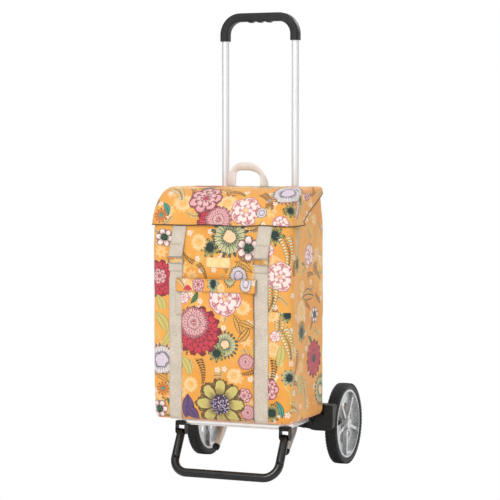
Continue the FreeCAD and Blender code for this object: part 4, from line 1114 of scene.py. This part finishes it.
cover = sheet_of(
    "cover_cloth", cover_points, cover_place, [cover_print, top_print, skirt_print], CLOTH_WALL,
    back=lining, zone=cover_zone,
)
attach(cover, "flap")
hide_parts("cover_flap")
cover_edge = [cover_points[r][0] for r in reversed(range(len(cover_points)))]
cover_edge += list(cover_points[0][1:])
cover_edge += [cover_points[r][-1] for r in range(1, len(cover_points))]
edge_tape = rod("cover_edge_tape", [p + Vector((0, 0, 0.0004)) for p in cover_edge], 0.0011, lining, sides=6)
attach(edge_tape, "flap")

# ---------------------------------------------------------------- front pocket and its flap
# A patch pocket with a shallow gusset, its foot in the bag's bottom seam, and a stiff band over its mouth.

POCKET_LOW, POCKET_HIGH = span("front_pocket")
POCKET_FOOT = BAG_LOW.z + 0.003
POCKET_LEFT = POCKET_LOW.x - 0.003
POCKET_WALL = 0.0013


def pocket_lift(share_across, height):
    """How far the pocket's cloth stands off the bag: full in the middle, sewn down at its sides and foot."""
    sides = (1 - abs(2 * share_across - 1) ** 12) ** 0.5
    foot = min(1.0, max(0.0, (height - POCKET_FOOT) / 0.05))
    foot = math.sin(foot * math.pi / 2) ** 0.6
    small = 0.05 * ripple(share_across, height, 9, 22, 6.1)
    wave = 1 + 0.16 * ripple(share_across, height, 3, 9, 4.4) + small
    return 0.0009 + (POCKET_HIGH.y - POCKET_LOW.y - 0.003) * sides * foot * wave


pocket_points, pocket_spots = [], []
pocket_shares = [0.5 - 0.5 * math.cos(math.pi * (0.5 - 0.5 * math.cos(math.pi * c / 44))) for c in range(45)]
for row in range(66):
    height = POCKET_FOOT + (POCKET_HIGH.z - POCKET_FOOT) * row / 65
    line, spots = [], []
    for share in pocket_shares:
        across = POCKET_LEFT + (POCKET_HIGH.x - POCKET_LEFT) * share
        under_foot = max(0.0, BAG_LOW.z + BAG_FOOT - height)
        tucked = BAG_FOOT - math.sqrt(max(0.0, BAG_FOOT ** 2 - under_foot ** 2))
        line.append(front(across, height, pocket_lift(share, height) - tucked))
        spots.append((across, height))
    pocket_points.append(line)
    pocket_spots.append(spots)
pocket_print = printed_cloth(
    "flower print pocket",
    ("ghost", 58, 410, 20, 0), ("ghost", 36, 250, 20, 0), ("lily", 48, 372, 26, 70),
    ("lily", 62, 345, 26, 130), ("lily", 66, 372, 22, 20), ("twig", -43, 259, 30, 80),
    ("pale_leaf", -85, 272, 28, 60), ("ruffle", 66, 284, 20, 70), ("mum", 14, 322, 34, 0),
    ("burst", -8, 301, 22, 0), ("peony", 13, 431, 43, 0), ("zinnia", -56, 352, 60, 0),
    ("ruffle", -66, 372, 40, 0), ("rose", 62, 205, 18, 0), ("ruffle", 70, 165, 20, 0),
    ("tulip", -82, 172, 30, 100), ("tulip", -70, 158, 24, 50), ("olive", 1, 182, 62, 0),
    ("leaf", -62, 430, 18, 120), ("blush", -92, 430, 16, 0), ("ghost", -75, 225, 20, 0),
)
pocket = sheet_of(
    "pocket_cloth", pocket_points, lambda r, c, _: pocket_spots[r][c], pocket_print, POCKET_WALL, back=lining,
)
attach(pocket, "bag")
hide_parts("front_pocket")

# Dark plum tape down the pocket's two side edges: partly the real seam of its gusset, partly a painted shadow
# where the pocket stands off the bag.
plum_seam_shadow_tape = finish_with(
    "plum seam tape",
    shades(speckle(160), ink(70, 44, 52), ink(112, 78, 84)),
    steps_between(speckle(300), 0.6, 0.75),
    bump=(speckle(1800, 2), 0.00008),
)
# Each side edge of the pocket gets the dark tape: seam and painted shadow.
for word, column in (("left", 0), ("right", -1)):
    seam = [row[column] + Vector((0, -0.0006, 0)) for row in pocket_points]
    seam_shadow_tape = rod(f"pocket_seam_and_shadow_{word}", seam, 0.0011, plum_seam_shadow_tape, sides=8)
    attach(seam_shadow_tape, "bag")

FLAP_LOW, FLAP_HIGH = span("pocket_flap")
FLAP_SIDE_VIEW = (
    (0.0034, -0.0003), (0.0060, 0.0), (0.0090, -0.0002), (0.0118, -0.0012), (0.0138, -0.004),
    (0.0147, -0.010), (0.0149, -0.016), (0.0149, -0.022), (0.0147, -0.0265), (0.0144, -0.0305),
)
flap_points, flap_spots = [], []
for step in reversed(range(len(FLAP_SIDE_VIEW))):
    lift, drop = FLAP_SIDE_VIEW[step]
    line, spots = [], []
    for column in range(53):
        across = FLAP_LOW.x + (FLAP_HIGH.x - FLAP_LOW.x) * column / 52
        beyond = max(0.0, POCKET_LEFT - across, across - POCKET_HIGH.x) / 0.014
        free = step / (len(FLAP_SIDE_VIEW) - 1)
        near = lift * (1 - 0.5 * min(1, beyond)) + free * ripple(across, 0, 24, 1, 2.7) * 0.0018
        if beyond > 0.2 and step > 1:
            near = max(near, 0.0054)
        height = FLAP_HIGH.z + drop + free * ripple(across, 0, 15, 1, 5.5) * 0.0016
        line.append(front(across, height, near))
        spots.append((across, 0.476 - step * 0.0036))
    flap_points.append(line)
    flap_spots.append(spots)
flap_print = printed_cloth(
    "flower print pocket flap",
    ("fern", -100, 462, 18, 30), ("rose", -53, 456, 15, 0), ("star", -15, 458, 16, 0),
    ("mum", 27, 470, 18, 0), ("daisy", 67, 460, 16, 0), ("twig", -62, 472, 14, 10), ("ghost", 5, 450, 10, 0),
    ("petal", -80, 450, 12, 0),
)
pocket_cover = sheet_of(
    "pocket_flap_cloth", flap_points, lambda r, c, _: flap_spots[r][c], flap_print, POCKET_WALL, back=lining,
)
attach(pocket_cover, "pocket_flap")
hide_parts("pocket_flap")

# ---------------------------------------------------------------- straps and carry handle
# Woven webbing, ribbed across, with stitched hems. Two straps come up the front, each through a ring.


def ribs(tree):
    """The height of plain webbing: a rib for every weft thread, crossed by the warp."""
    cloth = add(tree, "ShaderNodeUVMap", uv_map="cloth").outputs[0]
    weft = add(tree, "ShaderNodeTexWave", {"Vector": cloth, "Scale": 190.0, "Distortion": 0.4},
               bands_direction="Y").outputs[1]
    warp = add(tree, "ShaderNodeTexWave", {"Vector": cloth, "Scale": 300.0, "Distortion": 0.4},
               bands_direction="X").outputs[1]
    return calc(tree, "MULTIPLY_ADD", warp, 0.5, weft)


def webbing_of(name, dark, light):
    def tint(tree):
        cloth = add(tree, "ShaderNodeUVMap", uv_map="cloth").outputs[0]
        patchy = add(tree, "ShaderNodeTexNoise", {"Vector": cloth, "Scale": 260.0, "Detail": 4.0}).outputs[0]
        worn = stretched(tree, patchy, 0.3, 0.7)
        # A broad noise darkens the webbing in soft patches: painted shade of its folds.
        broad = add(tree, "ShaderNodeTexNoise", {"Vector": cloth, "Scale": 34.0, "Detail": 2.0}).outputs[0]
        fold_shade = stretched(tree, broad, 0.35, 0.65, 0.89, 1.02)
        tone = add(tree, "ShaderNodeVectorMath", {0: mixed(tree, worn, dark, light), "Scale": fold_shade},
                   operation="SCALE").outputs[0]
        # Darker where the ribs are low: painted shade in the grooves between the ribs.
        return mixed(tree, calc(tree, "MULTIPLY", calc(tree, "SUBTRACT", 1.0, ribs(tree)), 0.25), tone, dark)

    return finish_with(name, tint, steps_between(speckle(300), 0.6, 0.75), bump=(ribs, 0.0003))


webbing = webbing_of("beige webbing", ink(192, 178, 160), ink(216, 204, 188))
WEBBING_WALL = 0.0016
handle_webbing = webbing_of("pale webbing", ink(230, 219, 212), ink(248, 241, 236))


def tape(name, line, wide, material, wall, body, columns=9):
    """A flat strap whose line runs up the middle of its outer face."""
    points, spots, run = [], [], 0.0
    for step, point in enumerate(line):
        run += (point - line[step - 1]).length if step else 0.0
        shares = [(column / (columns - 1) - 0.5) * wide for column in range(columns)]
        points.append([point + Vector((across, 0, 0)) for across in shares])
        spots.append([(across, run) for across in shares])
    made = sheet_of(name, points, lambda r, c, _: spots[r][c], material, wall)
    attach(made, body)
    return made


for word in SIDES:
    low, high = span(f"lower_strap_{word}")
    middle, wide, wall = (low.x + high.x) / 2, high.x - low.x, WEBBING_WALL
    ring_low, ring_high = span(f"strap_ring_{word}")
    line = [Vector((middle, BAG_LOW.y + 0.045 - 0.004 * s, BAG_LOW.z - 0.0014)) for s in range(8)]
    for step in range(7):
        angle = math.radians(step * 15)
        line.append(Vector((
            middle, BAG_LOW.y + BAG_FOOT - math.sin(angle) * (BAG_FOOT + wall),
            BAG_LOW.z + BAG_FOOT - math.cos(angle) * (BAG_FOOT + wall),
        )))
    top = ring_low.z + 0.0035
    for step in range(1, 73):
        height = BAG_LOW.z + BAG_FOOT + (top - BAG_LOW.z - BAG_FOOT) * step / 72
        line.append(front(middle, height, wall + 0.0002))
    lower = tape(f"lower_webbing_{word}", line, wide, webbing, wall, "bag")
    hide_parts(f"lower_strap_{word}")
    fold_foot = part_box("pocket_flap")[1].z + 0.0165
    fold_long = top - 0.0012 - fold_foot
    fold = [
        front(middle, fold_foot + fold_long * s / 8, 2 * wall + 0.0004 + 0.0006 * s / 8) for s in range(9)
    ]
    tape(f"lower_hem_{word}", fold, wide, webbing, wall, "bag")

    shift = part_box(f"upper_strap_{word}")[1].x - high.x
    ring_middle = front(middle, ring_high.z - 0.001, 0.0044)
    edge = front(middle, COVER_LOW.z, 0.0014)
    climb = [
        ring_middle.lerp(Vector((middle + shift, edge.y, COVER_LOW.z + 0.012)), s / 24) for s in range(25)
    ]
    upper = tape(f"upper_webbing_{word}", climb, wide, webbing, wall, "flap")
    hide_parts(f"upper_strap_{word}")
    loop = [climb[0].lerp(climb[8], s / 8) - Vector((0, wall + 0.0002, -0.0006)) for s in range(9)]
    tape(f"upper_hem_{word}", loop, wide, webbing, wall, "flap")

    chrome = finish_with(
        f"ring chrome {word}",
        shades(speckle(90), (0.36, 0.36, 0.37, 1), (0.48, 0.48, 0.48, 1)),
        steps_between(speckle(200), 0.1, 0.22),
        metallic=1.0,
        bump=(speckle(500, 2), 0.00003),
    )
    wire = (ring_high.y - ring_low.y) / 2
    centre = Vector(
        ((ring_low.x + ring_high.x) / 2, ring_low.y + wire - 0.0006, (ring_low.z + ring_high.z) / 2)
    )
    half_wide, half_high = (ring_high.x - ring_low.x) / 2 - wire, (ring_high.z - ring_low.z) / 2 - wire
    bend = 0.003
    route = []
    for quarter in range(4):
        sign_x, sign_z = ((1, 1), (-1, 1), (-1, -1), (1, -1))[quarter]
        for step in range(6):
            angle = math.radians(90 * quarter + 18 * step)
            route.append(centre + Vector((
                sign_x * (half_wide - bend) + bend * math.cos(angle), 0,
                sign_z * (half_high - bend) + bend * math.sin(angle),
            )))
    ring = rod(f"wire_ring_{word}", route, wire, chrome, closed=True, sides=12)
    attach(ring, "flap")
    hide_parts(f"strap_ring_{word}")

tail_low, tail_high = span("strap_tail")
tail_line = [
    front((tail_low.x + tail_high.x) / 2, tail_low.z + (tail_high.z - tail_low.z) * s / 20, 0.0036)
    for s in range(21)
]
tail = tape("webbing_tail", tail_line, tail_high.x - tail_low.x, webbing, WEBBING_WALL, "bag")
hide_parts("strap_tail")

loop_low, loop_high = span("carry_handle")
loop_y = (loop_low.y + loop_high.y) / 2
LOOP_OUTER = (
    (-54, 0), (-54, 12), (-52.5, 24), (-46, 35), (-35, 47), (-22, 55.5), (-8, 58),
    (8, 57.5), (22, 53), (34, 44), (43, 33), (49.5, 22), (53, 11), (54, 0),
)   # the handle's outer edge, across and up in millimetres
LOOP_INNER = (
    (-28, 0), (-28, 12), (-28, 24), (-27, 33), (-20, 37.5), (-12, 38), (-4, 38),
    (6, 37.5), (16, 35.5), (25, 32), (32, 27), (35, 19), (36, 9), (36.5, 0),
)


def smooth_line(points, pieces=4):
    """A smooth curve through points, with several steps from each to the next."""
    found = []
    for index in range(len(points) - 1):
        before = Vector(points[max(0, index - 1)])
        start, end = Vector(points[index]), Vector(points[index + 1])
        after = Vector(points[min(len(points) - 1, index + 2)])
        for step in range(pieces):
            t = step / pieces
            square = 2 * before - 5 * start + 4 * end - after
            cube = 3 * start - before - 3 * end + after
            found.append(0.5 * (2 * start + (end - before) * t + square * t * t + cube * t ** 3))
    return found + [Vector(points[-1])]


carry_points, carry_spots, run = [], [], 0.0
outer_line, inner_line = smooth_line(LOOP_OUTER), smooth_line(LOOP_INNER)
for index, (outer, inner) in enumerate(zip(outer_line, inner_line)):
    share = index / (len(outer_line) - 1)
    run += (outer - outer_line[index - 1]).length / 1000 if index else 0
    high = math.sin(math.pi * share)
    row = []
    for column in range(9):
        t = column / 8
        spot = outer.lerp(inner, t) / 1000
        lean = (t - 0.5) * 0.013 * (1 - 1.6 * high) + 0.002 * math.sin(math.pi * t) * high
        row.append(Vector((spot.x, loop_y - lean, COVER_HIGH.z + 0.0012 + spot.y)))
    carry_points.append(row)
    carry_spots.append([(column / 8 * 0.026, run) for column in range(9)])
carry = sheet_of("carry_webbing", carry_points, lambda r, c, _: carry_spots[r][c], handle_webbing, 0.0022)
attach(carry, "flap")
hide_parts("carry_handle")

# ---------------------------------------------------------------- blank label
# A small woven label without any lettering, sewn on above the pocket.

label_cloth = finish_with(
    "label cloth",
    shades(speckle(120), ink(228, 186, 122), ink(242, 206, 150)),
    steps_between(speckle(300), 0.55, 0.7),
    bump=(speckle(1600, 2), 0.0001),
)
label_low, label_high = span("blank_label")
label_wide, label_tall = label_high.x - label_low.x, label_high.z - label_low.z
label_rows = [
    [front(label_low.x + label_wide * c / 12, label_low.z + label_tall * r / 6, 0.0009) for c in range(13)]
    for r in range(7)
]
label = sheet_of("label_patch", label_rows, lambda r, c, _: (c / 200, r / 250), label_cloth, 0.0008)
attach(label, "bag")
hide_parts("blank_label")

# ---------------------------------------------------------------- stitching
# Lockstitch in cream thread along the hems, edges and strap folds.

thread = finish_with(
    "cream thread",
    shades(speckle(400), ink(196, 176, 140), ink(230, 214, 184)),
    steps_between(speckle(500), 0.5, 0.7),
    bump=(speckle(3000, 2), 0.00004),
)
stitch_tree = repeat_tree("stitches", "GeometryNodeMeshIcoSphere")
STITCH_PITCH, STITCH_SIZE = 0.0036, (0.0012, 0.0003, 0.0003)


def stitched(name, body, *lines):
    """Stitches along lines of points, a little proud of the cloth."""
    runs = [(line, False) for line in lines]
    made = repeated(name, stitch_tree, runs, STITCH_PITCH, STITCH_SIZE, thread)
    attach(made, body)


def strap_box(middle, low, high, wide, lift, lean=0.0):
    """The outline of stitching across a folded strap end."""
    corners = [(-1, low), (1, low), (1, high), (-1, high), (-1, low)]
    line = []
    for (sx, z0), (ex, z1) in zip(corners, corners[1:]):
        for step in range(10):
            t = step / 10
            across = (sx + (ex - sx) * t) * (wide / 2 - 0.003)
            height = z0 + (z1 - z0) * t
            line.append(front(middle + lean * (height - low) + across, height, lift))
    return line


COVER_MIDDLE = range(COVER_SKIRT, COVER_COLUMNS - COVER_SKIRT)
stitched(
    "cover_stitches", "flap",
    [cover_points[1][c] + Vector((0, -0.0003, 0)) for c in COVER_MIDDLE],
    [cover_points[2][c] + Vector((0, -0.0003, 0)) for c in COVER_MIDDLE],
)
stitched(
    "pocket_flap_stitches", "pocket_flap",
    [p + Vector((0, -0.0003, 0.001)) for p in flap_points[1]],
)
stitched(
    "pocket_stitches", "bag",
    [pocket_points[r][3] + Vector((0, -0.0004, 0)) for r in range(3, 62)],
    [pocket_points[r][-4] + Vector((0, -0.0004, 0)) for r in range(3, 62)],
)
strap_lines = {"bag": [], "flap": []}
for word in SIDES:
    low, high = span(f"lower_strap_{word}")
    middle = (low.x + high.x) / 2
    box_foot = FLAP_HIGH.z + 0.0185
    strap_lines["bag"].append(strap_box(middle, box_foot, box_foot + 0.012, high.x - low.x, 0.0043))
    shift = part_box(f"upper_strap_{word}")[1].x - high.x
    lean = shift / (COVER_LOW.z + 0.012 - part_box(f"strap_ring_{word}")[1].z)
    ring_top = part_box(f"strap_ring_{word}")[1].z
    strap_lines["flap"].append(
        strap_box(middle, ring_top + 0.006, ring_top + 0.022, high.x - low.x, 0.0068, lean)
    )
stitched("lower_strap_stitches", "bag", *strap_lines["bag"])
stitched("upper_strap_stitches", "flap", *strap_lines["flap"])
label_frame = []
for start, end in (((0, 0), (1, 0)), ((1, 0), (1, 1)), ((1, 1), (0, 1)), ((0, 1), (0, 0))):
    for step in range(8):
        across = (start[0] + (end[0] - start[0]) * step / 8) * 0.94 + 0.03
        up = (start[1] + (end[1] - start[1]) * step / 8) * 0.88 + 0.06
        label_frame.append(front(label_low.x + label_wide * across, label_low.z + label_tall * up, 0.0011))
stitched("label_stitches", "bag", label_frame)
